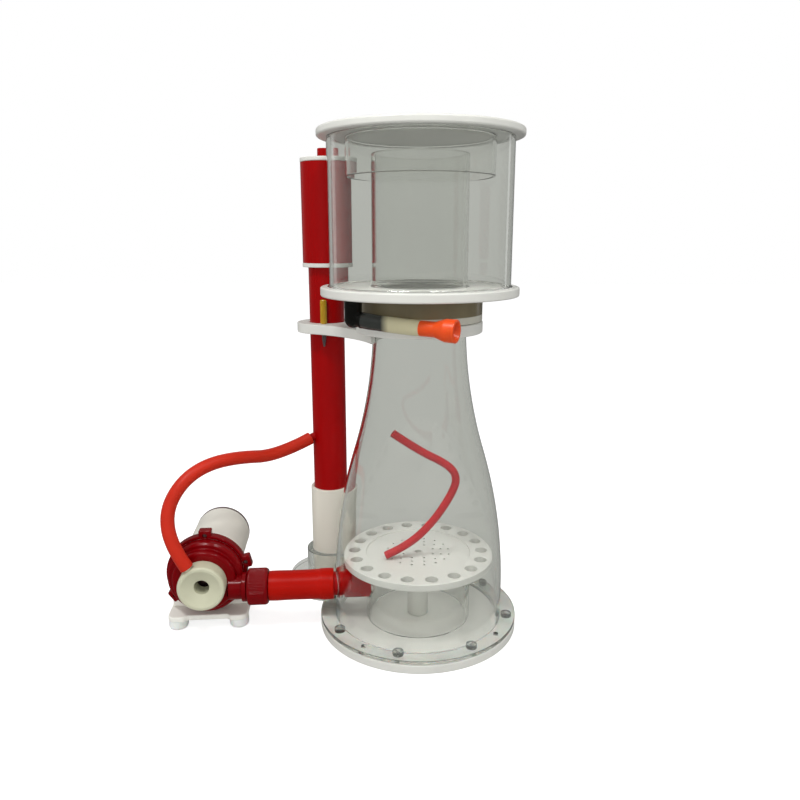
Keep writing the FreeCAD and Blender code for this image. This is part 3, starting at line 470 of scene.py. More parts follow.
def noise(material, scale, stretch=(1, 1, 1), detail=3.0):
    """A noise value over the piece, with the pattern stretched along its axes."""
    tree = material.node_tree
    place = add_node(tree, "TexCoord")
    spread = add_node(tree, "Mapping", Scale=stretch)
    pattern = add_node(tree, "TexNoise", Scale=scale, Detail=detail)
    tree.links.new(place.outputs["Object"], spread.inputs["Vector"])
    tree.links.new(spread.outputs["Vector"], pattern.inputs["Vector"])
    return pattern.outputs["Fac"]


def spread_value(material, value, low, high):
    """A noise value spread between two numbers."""
    tree = material.node_tree
    spread = add_node(tree, "MapRange", From_Min=NOISE_LOW, From_Max=NOISE_HIGH, To_Min=low, To_Max=high)
    tree.links.new(value, spread.inputs["Value"])
    return spread.outputs["Result"]


def mix_colours(material, value, first, second):
    """A colour between two, by a value."""
    tree = material.node_tree
    ramp = add_node(tree, "ValToRGB")
    low, high = ramp.color_ramp.elements
    low.position = PATCH_LOW
    low.color = (*first, 1)
    high.position = PATCH_HIGH
    high.color = (*second, 1)
    tree.links.new(value, ramp.inputs["Fac"])
    return ramp.outputs["Color"]


def add_bump(material, shader, value, depth, strength=0.35):
    """Fine relief from a value."""
    tree = material.node_tree
    bump = add_node(tree, "Bump", Strength=strength, Distance=depth * MM)
    tree.links.new(value, bump.inputs["Height"])
    tree.links.new(bump.outputs["Normal"], shader.inputs["Normal"])


def shade(colour, factor):
    """A colour made lighter or darker."""
    return tuple(min(1, channel * factor) for channel in colour)


def plastic(name, colour, rough, vary=0.05, mottle=28, grain=900, depth=0.02, stretch=(1, 1, 1), **sockets):
    """Moulded or machined plastic: soft mottling, uneven gloss and a fine surface grain."""
    uneven = 0.05
    material, shader, _ = new_material(name)
    links = material.node_tree.links
    patches = noise(material, mottle, stretch)
    links.new(mix_colours(material, patches, shade(colour, 1 - vary), shade(colour, 1 + vary)),
              shader.inputs["Base Color"])
    fine = noise(material, grain, stretch, 2.0)
    links.new(spread_value(material, patches, rough - uneven, rough + uneven), shader.inputs["Roughness"])
    add_bump(material, shader, fine, depth)
    set_inputs(shader, sockets)
    return material


def two_tone(material, axis, level, blur, lower):
    """Give a material another colour below a level on one axis of the piece, in metres."""
    tree = material.node_tree
    shader = next(node for node in tree.nodes if node.type == "BSDF_PRINCIPLED")
    own = shader.inputs["Base Color"].links[0].from_socket
    place = add_node(tree, "TexCoord")
    split = add_node(tree, "SeparateXYZ")
    tree.links.new(place.outputs["Object"], split.inputs[0])
    step = add_node(tree, "MapRange", From_Min=level - blur, From_Max=level + blur)
    tree.links.new(split.outputs[axis], step.inputs["Value"])
    mix = add_node(tree, "Mix")
    mix.data_type = "RGBA"
    # sockets 6, 7 and 2 of a colour mix are its two colours and its result
    mix.inputs[6].default_value = (*lower, 1)
    tree.links.new(step.outputs["Result"], mix.inputs[0])
    tree.links.new(own, mix.inputs[7])
    tree.links.new(mix.outputs[2], shader.inputs["Base Color"])


def clear_plastic(name, tint, rough, depth, density, soak):
    """Clear plastic: faint waves and smears, and a body that darkens where it is seen edge on."""
    smeared = 0.98
    material, shader, output = new_material(name)
    tree = material.node_tree
    smear = noise(material, 14, (1, 1, 0.4))
    tree.links.new(mix_colours(material, smear, shade(tint, smeared), tint), shader.inputs["Base Color"])
    tree.links.new(spread_value(material, smear, rough, rough + 0.03), shader.inputs["Roughness"])
    add_bump(material, shader, noise(material, 22, (1, 1, 0.35), 1.0), depth, 0.2)
    shader.inputs["Transmission Weight"].default_value = 1
    shader.inputs["IOR"].default_value = 1.49
    volume = add_node(tree, "VolumeAbsorption", Color=(*soak, 1), Density=density)
    tree.links.new(volume.outputs[0], output.inputs["Volume"])


def make_materials():
    """Every material of the object."""
    plastic("white_pvc", (0.64, 0.64, 0.595), 0.42, 0.02, grain=1500, depth=0.015)
    plastic("cup_white", (0.64, 0.64, 0.595), 0.36, 0.02, grain=1500, depth=0.012)
    plastic("tube_white", (0.72, 0.70, 0.61), 0.38, 0.025, 20, 700, 0.02, (1, 1, 0.06))
    plastic("red_pvc", (0.30, 0.0004, 0.0008), 0.30, 0.09, 18, 800, 0.03, (1, 1, 0.05),
            Specular_IOR_Level=0.12)
    plastic("crimson", (0.165, 0.0004, 0.002), 0.17, 0.10, 40, 1200, 0.015, Specular_IOR_Level=0.15)
    plastic("cream", (0.53, 0.53, 0.385), 0.40, 0.03, 40, 1200, 0.02)
    plastic("motor_cream", (0.74, 0.72, 0.64), 0.38, 0.03, 30, 1200, 0.03)
    # the cup's collar is white plastic shown dark olive grey: painted shade from the cup plate above, tinted
    # brown as a painted reflection; the lighter band below COLLAR_PAINTED_LIGHT_TOP is painted light
    collar_painted_shade = plastic("collar_painted_shade", (0.16, 0.135, 0.078), 0.22, 0.12, 24, 900, 0.02)
    two_tone(collar_painted_shade, "Z", COLLAR_PAINTED_LIGHT_TOP, 0.0004, (0.5, 0.49, 0.42))
    # a lighter copy of the white PVC: painted light on the bracket, standing in for floor bounce where the
    # pump shades it
    plastic("bracket_white_painted_light", (0.88, 0.87, 0.80), 0.42, 0.02, grain=1500, depth=0.015)
    plastic("silicone", (0.50, 0.020, 0.006), 0.40, 0.06, 26, 700, 0.03, Specular_IOR_Level=0.2,
            Subsurface_Weight=0.10, Subsurface_Scale=0.004, Subsurface_Radius=(1, 0.2, 0.1))
    plastic("hose_red", (0.38, 0.004, 0.0006), 0.33, 0.07, 26, 700, 0.03, Specular_IOR_Level=0.1)
    plastic("spare_silicone", (0.42, 0.006, 0.012), 0.38, 0.08, 60, 900, 0.02)
    plastic("dark_rubber", (0.03, 0.03, 0.03), 0.6, 0.2, 60, 900, 0.05)
    # a darker copy of the white rubber of the feet: painted shade on the gasket, which shows too bright
    # through the clear flange
    plastic("white_rubber", (0.44, 0.44, 0.41), 0.45, 0.03, 60, 900, 0.03,
            Subsurface_Weight=0.25, Subsurface_Scale=0.006)
    plastic("foot_rubber", (0.86, 0.87, 0.84), 0.4, 0.03, 60, 900, 0.03,
            Subsurface_Weight=0.25, Subsurface_Scale=0.006)
    plastic("steel", (0.42, 0.42, 0.42), 0.3, 0.1, 120, 1500, 0.02, Metallic=1)
    plastic("black", (0.004, 0.004, 0.003), 0.22, 0.2, 60, 1200, 0.02, Specular_IOR_Level=0.3)
    plastic("motor_cap", (0.09, 0.045, 0.045), 0.5, 0.12, 50, 900, 0.05)
    plastic("pin_grey", (0.07, 0.05, 0.05), 0.4, 0.2, 90, 1200, 0.03)
    plastic("amber", (0.40, 0.23, 0.010), 0.22, 0.08, 60, 900, 0.02,
            Subsurface_Weight=0.1, Subsurface_Scale=0.003)
    plastic("orange", (0.70, 0.065, 0.002), 0.34, 0.05, 50, 900, 0.02,
            Subsurface_Weight=0.2, Subsurface_Scale=0.004, Subsurface_Radius=(1, 0.3, 0.1))
    plastic("foam", (0.12, 0.12, 0.12), 0.9, 0.3, 300, 1500, 0.4)
    plastic("ceramic", (0.82, 0.82, 0.79), 0.2, 0.02, 60, 1500, 0.01)
    clear_plastic("acrylic", (0.97, 0.975, 0.965), 0.0, 0.10, 24, (0.50, 0.54, 0.46))
    clear_plastic("acrylic_inner", (0.99, 0.99, 0.985), 0.0, 0.06, 28, (0.50, 0.54, 0.48))
    clear_plastic("acrylic_flat", (0.98, 0.985, 0.975), 0.02, 0.05, 28, (0.50, 0.52, 0.48))
    clear_plastic("acrylic_block", (0.98, 0.985, 0.975), 0.02, 0.05, 2.5, (0.50, 0.54, 0.48))
    clear_plastic("screw_clear", (0.80, 0.81, 0.80), 0.06, 0.02, 110, (0.4, 0.42, 0.4))
    hose = plastic("hose_clear", (0.66, 0.62, 0.41), 0.14, 0.05, 30, 900, 0.02, Transmission_Weight=0.3)
    two_tone(hose, "X", BARB_END, 0.004, (0.045, 0.05, 0.045))


def coat(thing, material):
    """Give a piece one material; clear pieces cast no lamp shadow."""
    thing.data.materials.clear()
    thing.data.materials.append(MATERIALS[material])
    thing.visible_shadow = material not in CLEAR


def dress(thing, node, material):
    """Give a piece its material and its record slot, and put it in place of its CAD node."""
    coat(thing, material)
    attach(thing, BODY_OF[node])
    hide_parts(node)


def extra(thing, body, material):
    """A piece of detail that has no CAD node of its own."""
    coat(thing, material)
    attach(thing, body)


def keep(node, material):
    """Show a CAD node as it is, with a better material."""
    coat(frame["nodes"][node], material)


make_camera()
make_materials()
CLEAR = ("acrylic", "acrylic_inner", "acrylic_flat", "acrylic_block", "screw_clear", "hose_clear")


# ---- free hoses ----

# routes in metres
AIR_ROUTE = (
    (-0.26251, -0.05859, 0.09111), (-0.27792, -0.06029, 0.11796), (-0.2855, -0.050, 0.1545),
    (-0.272, -0.033, 0.1835), (-0.249, -0.0115, 0.1985), (-0.218, 0.015, 0.200),
    (-0.178, 0.0565, 0.189), (-0.1383, 0.078, 0.2066),
)
SPARE_ROUTE = (
    (-0.029, -0.026, 0.243), (0, -0.022, 0.2215), (0.0335, -0.017, 0.204), (0.045, -0.015, 0.188),
    (0.0385, -0.0145, 0.1665), (0.017, -0.0165, 0.1325), (-0.012, -0.021, 0.105), (-0.038, -0.024, 0.0936),
)
DRAIN_ROUTE = ((-0.0585, -0.0611, 0.37383), (-0.027, -0.0764, 0.3703), (0.0065, -0.091, 0.3692))


def air_hose():
    """Silicone hose from the pump's nipple to the standpipe, stretched a little over both."""
    points = centreline(AIR_ROUTE)
    bore, radius, stretch, reach = 0.0050, 0.0078, 0.0002, 0.012

    def outer(start, end):
        return radius + stretch * max(0, 1 - min(start, end) / reach)

    hose = sleeve("air_hose_piece", points, lambda start, end: bore, outer)
    dress(hose, "air_hose", "silicone")


def spare_hose():
    """Thin loose hose that lies inside the chamber."""
    points = centreline(SPARE_ROUTE)
    bore, radius = 0.0029, 0.0046
    hose = sleeve("spare_hose_piece", points, lambda start, end: bore, lambda start, end: radius, 32, 0.0004)
    dress(hose, "spare_hose", "spare_silicone")


air_hose()
spare_hose()


# ---- base and reaction chamber ----

BASE_TOP = 10
BOLT_CIRCLE = 107.5
SCREW_HOLE, MOUNT_HOLE = 2.1, 2.75  # radii
INLET_HOLE, DUCT_HOLE = 14.1, 16.1  # radii
SCREW_SPOTS = around(BOLT_CIRCLE, 8, -11.25)
MOUNT_SPOTS = around(BOLT_CIRCLE, 4, -33.75)
PIPE = axis_of("standpipe")
PIPE_FAR = math.hypot(*PIPE)
PIPE_WAY = Vector((PIPE[0], PIPE[1], 0)).normalized()
DUCT_AXIS = frame_at((0, 0, 36), PIPE_WAY, UP)


def drilled(name, outer, inner, low, high, edge):
    """A ring or disc with the screw holes and the mounting holes."""
    outlines = [circle(outer)]
    if inner:
        outlines.append(circle(inner))
    outlines += [circle(SCREW_HOLE, x, y, 24) for x, y in SCREW_SPOTS]
    outlines += [circle(MOUNT_HOLE, x, y, 32) for x, y in MOUNT_SPOTS]
    return plate(name, outlines, low, high, edge)


def knurled(count, depth, low, high, limit):
    """Soft knurling between two heights, outside a radius."""
    def relief(angle, radius, height):
        return depth * math.cos(angle * count) if radius > limit and low < height < high else 0
    return relief


def flange_screw(x, y):
    """Knurled socket-head screw."""
    corners = [(0, 2), (2, 2, 0.5), (2, 15.46), (6.0, 15.46, 0.3), (6.0, 16.3, 0.1), (6.0, 19.7, 0.1),
               (6.0, 20.4, 0.6), (3.1, 20.4, 0.2), (2.7, 17.4), (0, 17.1)]
    return lathe("flange_screw", corners, upright(x, y), False, 120, knurled(20, 0.18, 16.2, 19.8, 5.4))


def bell():
    """Bell-shaped chamber wall with the holes of the inlet pipe and the outlet duct."""
    wide, narrow, foot, shoulder, top = 100, 52, 50, 372, 391
    wall, low_share, steps, lip = 4, 0.522, 22, 0.8
    slope = (wide - narrow) / (shoulder - foot)
    bend = 2 * math.atan(slope)
    both = (shoulder - foot) / math.sin(bend)
    low_arc = both * low_share
    high_arc = both - low_arc

    def flank(inset):
        lower = arc(low_arc - inset, wide - low_arc, foot, 0, bend, steps)
        upper = arc(high_arc + inset, narrow + high_arc, shoulder, math.pi + bend, math.pi, steps)
        return [(wide - inset, foot)] + lower[1:] + upper[1:]

    corners = [(wide, BASE_TOP + GAP, 0.3), *flank(0), (narrow, top, lip), (narrow - wall, top, lip)]
    corners += [*reversed(flank(wall)), (wide - wall, BASE_TOP + GAP, 0.3)]
    thing = lathe("reaction_chamber_piece", corners, segments=200)
    inlet = rod("inlet_cutter", INLET_HOLE, 128, 175, OUTLET_AXIS, 0.2, 64)
    duct = rod("duct_cutter", DUCT_HOLE, 80, 115, DUCT_AXIS, 0.2, 64)
    return cut(thing, inlet, duct)


def bubble_plate():
    """Round plate with large holes near its rim, small bubble holes and a shallow middle."""
    corners = [(0, 82), (89, 82, 0.8), (89, 90, 0.8), (62.5, 90, 0.5), (62.0, 88.5, 0.3), (0, 88.5)]
    thing = lathe("bubble_plate_piece", corners, closed=False, segments=192)
    rim_holes, rim_circle, rim_turn, rim_hole = 18, 76.5, -8.6, 7.2
    bubble_hole, middle_hole = 1.6, 4
    low, high = 80, 92
    cutters = [rod("cutter", rim_hole, low, high, upright(x, y), 0.1, 40)
               for x, y in around(rim_circle, rim_holes, rim_turn)]
    for far, count in ((19, 8), (28, 12), (37, 16)):
        spots = around(far, count, 180 / count)
        cutters += [rod("cutter", bubble_hole, low, high, upright(x, y), 0.1, 16) for x, y in spots]
    cutters.append(rod("cutter", middle_hole, low, high, Matrix(), 0.1, 32))
    return soften(cut(thing, gather(*cutters)), 0.35)


MOUTH_DEPTH = 10.2  # from the pump's datum to its intake mount
OUTLET_BACK, OUTLET_DROP = 22, 12  # the outlet's axis behind and below the datum
intake = next(mount for mount in record["mounts"] if mount["name"] == "pump_intake")
REARWARD = -Vector(intake["axis"])
SIDEWAYS = REARWARD.cross(UP)
PUMP_DATUM = Vector(intake["pos_m"]) / MM - REARWARD * MOUTH_DEPTH
PUMP_AXIS = frame_at(PUMP_DATUM, REARWARD, SIDEWAYS)
OUTLET_AXIS = frame_at(PUMP_DATUM + REARWARD * OUTLET_BACK - UP * OUTLET_DROP, SIDEWAYS, UP)

dress(drilled("base_plate_piece", 118, 0, 0, 10, 1.0), "base_plate", "white_pvc")
# the gasket's rubber is darkened as painted shade
dress(drilled("base_gasket_piece", 117.4, 100.4, 10.05, 11.15, 0.3), "base_gasket", "white_rubber")
dress(drilled("chamber_flange_piece", 118, 100.15, 11.25, 15.4, 0.6), "chamber_flange", "acrylic_flat")
dress(gather(*[flange_screw(x, y) for x, y in SCREW_SPOTS]), "flange_screws", "screw_clear")
dress(bell(), "reaction_chamber", "acrylic")
diffuser = round_tube("diffuser_tube_piece", 62.5, 58.5, 10.06, 81.94, 0.4, 0.4)
dress(cut(diffuser, rod("cutter", 16.7, 175, 210, OUTLET_AXIS, 0.2, 64)), "diffuser_tube", "acrylic_inner")
dress(rod("centre_post_piece", 12.5, 10.02, 81.98, Matrix(), 0.8, 96), "centre_post", "white_pvc")
dress(bubble_plate(), "bubble_plate", "white_pvc")
inlet_corners = [(11, 128, 0.5), (14, 128, 0.5), (14, 164, 0.4), (16.5, 164, 0.8), (16.5, 196, 0.8),
                 (11, 196, 0.6)]
dress(lathe("inlet_pipe_piece", inlet_corners, OUTLET_AXIS), "inlet_pipe", "red_pvc")


# ---- neck ring and support arm ----

ARM_LOW, ARM_HIGH = 343, 355
PIPE_HOLE, PIN_HOLE = 21.7, 2.7  # radii
PIN = (PIPE[0] - 0.8, PIPE[1] - 26)
DUCT_TURN = Matrix.Rotation(math.atan2(PIPE[1], PIPE[0]), 4, "Z")


def turn_back(x, y):
    """A place on the floor in the arm's own frame."""
    along = x * PIPE_WAY.x + y * PIPE_WAY.y
    aside = y * PIPE_WAY.x - x * PIPE_WAY.y
    return along, aside


def support_arm():
    """Flat arm from the neck to the standpipe, with hollow sides."""
    eye, end, waist, inner, bite = 58, 37, 150, 27, 53.1
    to_eye, to_end = eye + waist, end + waist
    across = (to_eye ** 2 - to_end ** 2 + PIPE_FAR ** 2) / (2 * PIPE_FAR)
    aside = math.sqrt(to_eye ** 2 - across ** 2)
    inner_turn = math.acos((across - inner) / waist)
    end_turn = math.atan2(aside, across - PIPE_FAR)
    bite_turn = math.acos(inner / bite)
    outline = arc(waist, across, -aside, math.pi - inner_turn, math.pi - end_turn, 40)
    outline += arc(end, PIPE_FAR, 0, -end_turn, end_turn, 70)[1:-1]
    outline += arc(waist, across, aside, end_turn + math.pi, inner_turn + math.pi, 40)
    outline += arc(bite, 0, 0, bite_turn, -bite_turn, 60)
    holes = [circle(PIPE_HOLE, PIPE_FAR, 0, 96), circle(PIN_HOLE, *turn_back(*PIN), 24)]
    return plate("support_arm_piece", [outline, *holes], ARM_LOW, ARM_HIGH - GAP, 1.2, DUCT_TURN, 3)


dress(round_tube("neck_ring_piece", 70.5, 52.6, 355, 367.4, 1.6, 0.8), "neck_ring", "white_pvc")
dress(support_arm(), "support_arm", "white_pvc")
pin_corners = [(0, 327), (1.2, 327, 0.8), (2.5, 336, 1), (2.5, 371.5, 0.5), (0, 371.5)]
dress(lathe("arm_pin_piece", pin_corners, upright(*PIN), False, 40), "arm_pin", "pin_grey")
cap_corners = [(2.6, 355.05, 0.3), (4, 355.05, 0.5), (4, 384, 3.9), (0, 384), (0, 372), (2.6, 372)]
dress(lathe("arm_pin_cap_piece", cap_corners, upright(*PIN), True, 64), "arm_pin_cap", "amber")


# ---- standpipe and silencer ----

def outlet_foot():
    """Clear low block that meets the base in a hollow and is round under the standpipe."""
    foot, base = 55, 118.3
    across = (PIPE_FAR ** 2 + base ** 2 - foot ** 2) / (2 * PIPE_FAR)
    aside = math.sqrt(base ** 2 - across ** 2)
    base_turn = math.atan2(aside, across)
    foot_turn = math.atan2(aside, across - PIPE_FAR)
    outline = arc(foot, PIPE_FAR, 0, -foot_turn, foot_turn, 110)
    outline += arc(base, 0, 0, base_turn, -base_turn, 50)[1:-1]
    return plate("outlet_foot_piece", [outline], 0, 18, 1.2, DUCT_TURN, 3)


def pipe_ring(name, outer, inner, low, high, edge=0.6, segments=128):
    """A tube round the standpipe's axis, with its inner edges rounded by 0.4 mm at most."""
    return round_tube(name, outer, inner, low, high, edge, min(edge, 0.4), upright(*PIPE), segments)


def duct_cutter(radius):
    """A rod along the duct's axis, up to the middle of the standpipe."""
    return rod("cutter", radius, 90, PIPE_FAR, DUCT_AXIS, 0.2, 64)


dress(outlet_foot(), "outlet_foot", "acrylic_block")
duct = round_tube("outlet_duct_piece", 16, 12, 100.3, 128, 0.4, 0.4, DUCT_AXIS, 96)
dress(cut(duct, rod("cutter", 25.7, 0, 80, upright(*PIPE), 0.2, 128)), "outlet_duct", "acrylic_inner")
socket = pipe_ring("outlet_socket_piece", 33, 25.7, 18.05, 53, 0.8)
dress(cut(socket, duct_cutter(16.2)), "outlet_socket", "acrylic_flat")
tube = pipe_ring("outlet_tube_piece", 25.5, 21.6, 18.05, 139.5, 0.8)
dress(cut(tube, duct_cutter(12)), "outlet_tube", "tube_white")
dress(pipe_ring("standpipe_piece", 21.4, 18.9, 60, 440, 0.6, 160), "standpipe", "red_pvc")
port_corners = [(3, 0, 0.3), (5, 0, 0.5), (5, 8), (3, 8)]
port_frame = frame_on(AIR_ROUTE, -2, -1, -1)
dress(lathe("air_port_piece", port_corners, port_frame, True, 48), "air_port", "red_pvc")
dress(pipe_ring("silencer_ring_piece", 28.3, 21.55, 422, 426.95, 1.0, 160), "silencer_ring", "white_pvc")
dress(pipe_ring("silencer_sleeve_piece", 27.8, 25.2, 427, 544, 0.3, 160), "silencer_sleeve", "red_pvc")
dress(pipe_ring("silencer_cap_piece", 28.3, 3.2, 544.05, 549, 1.2, 160), "silencer_cap", "white_pvc")


def valve_knob():
    """Knurled knob with its stem."""
    corners = [(0, 536), (3, 536, 0.3), (3, 549.3), (7.2, 549.3, 0.4), (7.3, 551, 0.1), (7.3, 558.6, 0.1),
               (7.2, 560, 0.8), (0, 560)]
    return lathe("air_valve_knob_piece", corners, upright(*PIPE), False, 180,
                 knurled(30, 0.16, 551, 558.4, 7))


dress(valve_knob(), "air_valve_knob", "red_pvc")


# ---- foam cup, lid and drain ----

ELBOW = (-69, -56)


def cup_ring(name, outer, inner, low, high, edge):
    """A ring or tube round the chamber's axis."""
    return round_tube(name, outer, inner, low, high, edge, edge, None, 200)


def cup_collar():
    """Collar with its seal groove and a lip that comes down onto the neck ring."""
    corners = [(52.6, 370.4, 0.8), (60, 370.4), (61, 367.8), (69.8, 367.8, 1.2), (69.8, 395.1, 0.4),
               (52.6, 395.1, 0.4), (52.6, 382.1, 0.2), (56.2, 382.1, 0.2), (56.2, 377.9, 0.2),
               (52.6, 377.9, 0.2)]
    return lathe("cup_collar_piece", corners, None, True, 192)


# the collar's material paints its shade and a lit band along its lower lip
dress(cup_collar(), "cup_collar", "collar_painted_shade")
keep("neck_seal", "dark_rubber")
floor_outlines = [circle(109.5, count=220), circle(53.1, count=180), circle(7.05, *ELBOW, 48)]
dress(plate("cup_plate_piece", floor_outlines, 395.2, 405.1, 1.8, steps=4), "cup_plate", "cup_white")
dress(cup_ring("cup_wall_piece", 100, 96, 405.16, 559.95, 0.5), "cup_wall", "acrylic")
dress(cup_ring("foam_riser_piece", 53, 49, 395.25, 544, 1.6), "foam_riser", "acrylic_inner")
bead_corners = [(53.05, 405.12, 0.2), (55.9, 405.12, 0.6), (53.8, 406.2, 1.5), (53.05, 408, 0.3)]
extra(lathe("riser_bead", bead_corners, None, True, 200), "cup", "acrylic_inner")
wall_bead_corners = [(100.05, 405.12, 0.2), (102.4, 405.12, 0.6), (100.8, 406.1, 1.2), (100.05, 407.4, 0.3)]
extra(lathe("wall_bead", wall_bead_corners, None, True, 220), "cup", "acrylic_inner")
lid_corners = [(0, 560.2), (110.4, 560.2, 2.2), (110.4, 568.2, 2.4), (0, 568.2)]
dress(lathe("lid_piece", lid_corners, None, False, 220), "lid", "cup_white")
dress(cup_ring("lid_collar_piece", 80.4, 77.4, 520, 560.15, 1.3), "lid_collar", "acrylic_inner")

DRAIN_AXIS = frame_on(DRAIN_ROUTE, 0, 1, 0)
PLUG_AXIS = frame_on(DRAIN_ROUTE, 1, 2, 2)


def drain_elbow():
    """Elbow with a flanged boss under the cup and a barbed stub for the hose."""
    radius, middle = 9.2, 374.6
    round_bottom = ((0, 0), (1.8, 0.2), (3.5, 0.7), (5.1, 1.6), (6.5, 2.7), (7.6, 4.1), (8.5, 5.7),
                    (9.0, 7.4))
    boss_corners = [(x, y - radius + middle) for x, y in round_bottom]
    boss_corners += [(radius, middle), (radius, 384, 0.6), (9.3, 386.2, 0.6), (9.3, 395.1, 0.3),
                     (6.95, 395.1, 0.1), (6.95, 405.1, 0.4), (5, 405.1, 0.4), (5, 372, 0.4), (0, 372)]
    boss = lathe("drain_elbow_piece", boss_corners, upright(*ELBOW), False, 96)
    stub_corners = [(0, -14), (7.6, -14, 0.3), (7.6, -2.2, 0.5), (8.5, -2.2, 0.5), (8.5, 0, 0.4),
                    (6.1, 0, 0.1), (6.5, 3.4, 0.2), (6.0, 5.4, 0.1), (6.5, 8.8, 0.2), (6.0, 10.8, 0.1),
                    (6.4, 14.2, 0.3),
                    (5.4, 17.6, 0.4), (4, 17.6, 0.3), (4, 2), (0, 1)]
    stub = lathe("stub", stub_corners, DRAIN_AXIS, False, 96)
    return join(boss, stub)


def drain_hose():
    """Soft tube pushed over the elbow's barbs, with the plug on its end; in metres."""
    radius, swell, barb, reach, pinch = 0.0082, 0.0003, 0.008, 0.010, 0.0012
    bore, wall = 0.0066, 0.0016

    def outer(start, end):
        over_barb = max(0, 1 - abs(start - barb) / reach)
        in_plug = max(0, 1 - end / reach)
        return radius + swell * over_barb - pinch * in_plug

    def inner(start, end):
        return min(bore, outer(start, end) - wall)

    return sleeve("drain_hose_piece", centreline(DRAIN_ROUTE), inner, outer, 48, 0.0007)


dress(drain_elbow(), "drain_elbow", "black")
dress(drain_hose(), "drain_hose", "hose_clear")
plug_corners = [(7.0, -6, 0.3), (7.9, -6, 0.5), (7.9, 10, 5), (11.6, 21, 6), (11.8, 32.8, 1.0),
                (9.3, 33, 0.8), (4.6, 24, 2), (4.2, 14, 0.5), (0, 14), (0, 0), (7.0, 0, 0.3)]
dress(lathe("drain_plug_piece", plug_corners, PLUG_AXIS, True, 96), "drain_plug", "orange")


# ---- pump ----

CLAMP_TURNS = (90, 15, 215)
LUG_FAR = 47.6  # from the pump's axis to the middle of a lug
UPRIGHT_WIDE = 45  # half the width of the bracket's upright
BRACKET_TOP = 18


def on_pump(name, corners, closed=True, segments=ROUND, relief=None):
    """A body turned about the pump's axis."""
    return lathe(name, corners, PUMP_AXIS, closed, segments, relief)


def volute():
    """Stepped pump chamber with a rolled front edge and its outlet stub."""
    shell_corners = [(16.1, 14.05, 0.4), (37, 14.05, 4.0), (37, 24, 1.5), (41.5, 24, 1), (44, 26.4, 1.4),
                     (44, 36.4, 0.3), (38.1, 36.4, 0.3), (30, 36.4, 1), (30, 17, 2), (16.1, 17, 0.4)]
    shell = on_pump("volute_piece", shell_corners)
    stub_corners = [(11, 28, 0.5), (14.2, 28, 0.3), (14.2, 43, 0.2), (17.2, 43.5, 1), (17.2, 48.6, 0.8),
                    (14.2, 49.2, 0.3), (14.2, 58, 0.4), (11, 58, 0.4)]
    stub = lathe("stub", stub_corners, OUTLET_AXIS, True, 96)
    return cut(join(shell, stub), rod("cutter", 11, 26, 60, OUTLET_AXIS, 0.1, 48))


def clamp_ring():
    """Split ring with three lugs."""
    corners = [(44.1, 36.6, 0.3), (47.5, 36.6, 1.2), (47.5, 48, 1.2), (44.1, 48, 0.3)]
    ring = on_pump("clamp_ring_piece", corners)
    lugs = []
    cutters = []
    for turn in CLAMP_TURNS:
        lean = PUMP_AXIS @ Matrix.Rotation(math.radians(-turn), 4, "Z")
        lugs.append(block("lug", (44.3, -7.4, 36.65), (9.6, 14.8, 11.3), lean, 1.8))
        cutters.append(rod("cutter", 2.9, 30, 50, moved(lean, LUG_FAR), 0.1, 40))
    slit = block("cutter", (-50, 10.9, 30), (10, 2.2, 24), PUMP_AXIS, 0.1)
    return cut(join(ring, *lugs), slit, *cutters)


def clamp_screw(turn):
    """Socket-head screw sunk in its lug."""
    lean = moved(PUMP_AXIS @ Matrix.Rotation(math.radians(-turn), 4, "Z"), LUG_FAR)
    corners = [(0, 40.6), (1.3, 40.6, 0.2), (1.4, 39.2, 0.2), (2.8, 39.2, 0.4), (2.8, 47.2, 0.4), (0, 47.2)]
    return lathe("clamp_screw", corners, lean, False, 36)


def ribbed(count, depth, low, high, limit):
    """Fine ribs along the axis between two heights, outside a radius."""
    flatness = 0.6

    def relief(angle, radius, height):
        if radius < limit or not low < height < high:
            return 0
        return depth * (abs(math.cos(angle * count / 2)) ** flatness - 1)
    return relief


nozzle_corners = [(8.75, 0.6, 0.8), (19.5, -4.0, 3), (22.6, -5.6, 1.4), (25.6, -5.6, 1.8), (27, -3.4, 1.6),
                  (27, 13.95, 0.8), (16, 13.95, 0.3), (16, 20, 0.4), (8.75, 20, 0.3)]
dress(on_pump("intake_nozzle_piece", nozzle_corners), "intake_nozzle", "cream")
nipple_frame = frame_on(AIR_ROUTE, 0, 1, 0, 6)
nipple_corners = [(2.5, 0.2, 0.2), (4.5, 0.2, 0.2), (4.5, 6, 0.2), (4.9, 6.6, 0.2), (4.4, 11, 0.3),
                  (2.5, 11, 0.2)]
dress(lathe("air_nipple_piece", nipple_corners, nipple_frame, True, 48), "air_nipple", "cream")
dress(volute(), "volute", "crimson")
keep("volute_seal", "dark_rubber")
dress(clamp_ring(), "clamp_ring", "crimson")
dress(gather(*[clamp_screw(turn) for turn in CLAMP_TURNS]), "clamp_screws", "steel")
for node, material in (("impeller", "motor_cap"), ("rotor_shaft", "ceramic"), ("rotor_magnet", "pin_grey"),
                       ("front_bearing", "ceramic"), ("rear_bearing", "dark_rubber"),
                       ("hose_tail", "crimson"), ("silencer_foam", "foam")):
    keep(node, material)
housing_corners = [(15, 40.05, 0.3), (43.9, 40.05, 0.3), (43.9, 46, 0.6), (35.3, 46, 0.5), (35.3, 70, 0.1),
                   (35.15, 71, 0.1), (35.15, 157, 0.2), (34.6, 158.4, 0.4), (0, 158.4), (0, 112),
                   (15, 112, 1)]
dress(on_pump("motor_housing_piece", housing_corners), "motor_housing", "motor_cream")
cap_corners = [(0, 158.5), (35.3, 158.5, 0.5), (35.3, 161.9, 1.2), (33.4, 163.5, 0.6), (30, 163.5, 0.4),
               (29.4, 162.8, 0.3), (0, 162.8)]
dress(on_pump("motor_end_cap_piece", cap_corners, False), "motor_end_cap", "motor_cap")
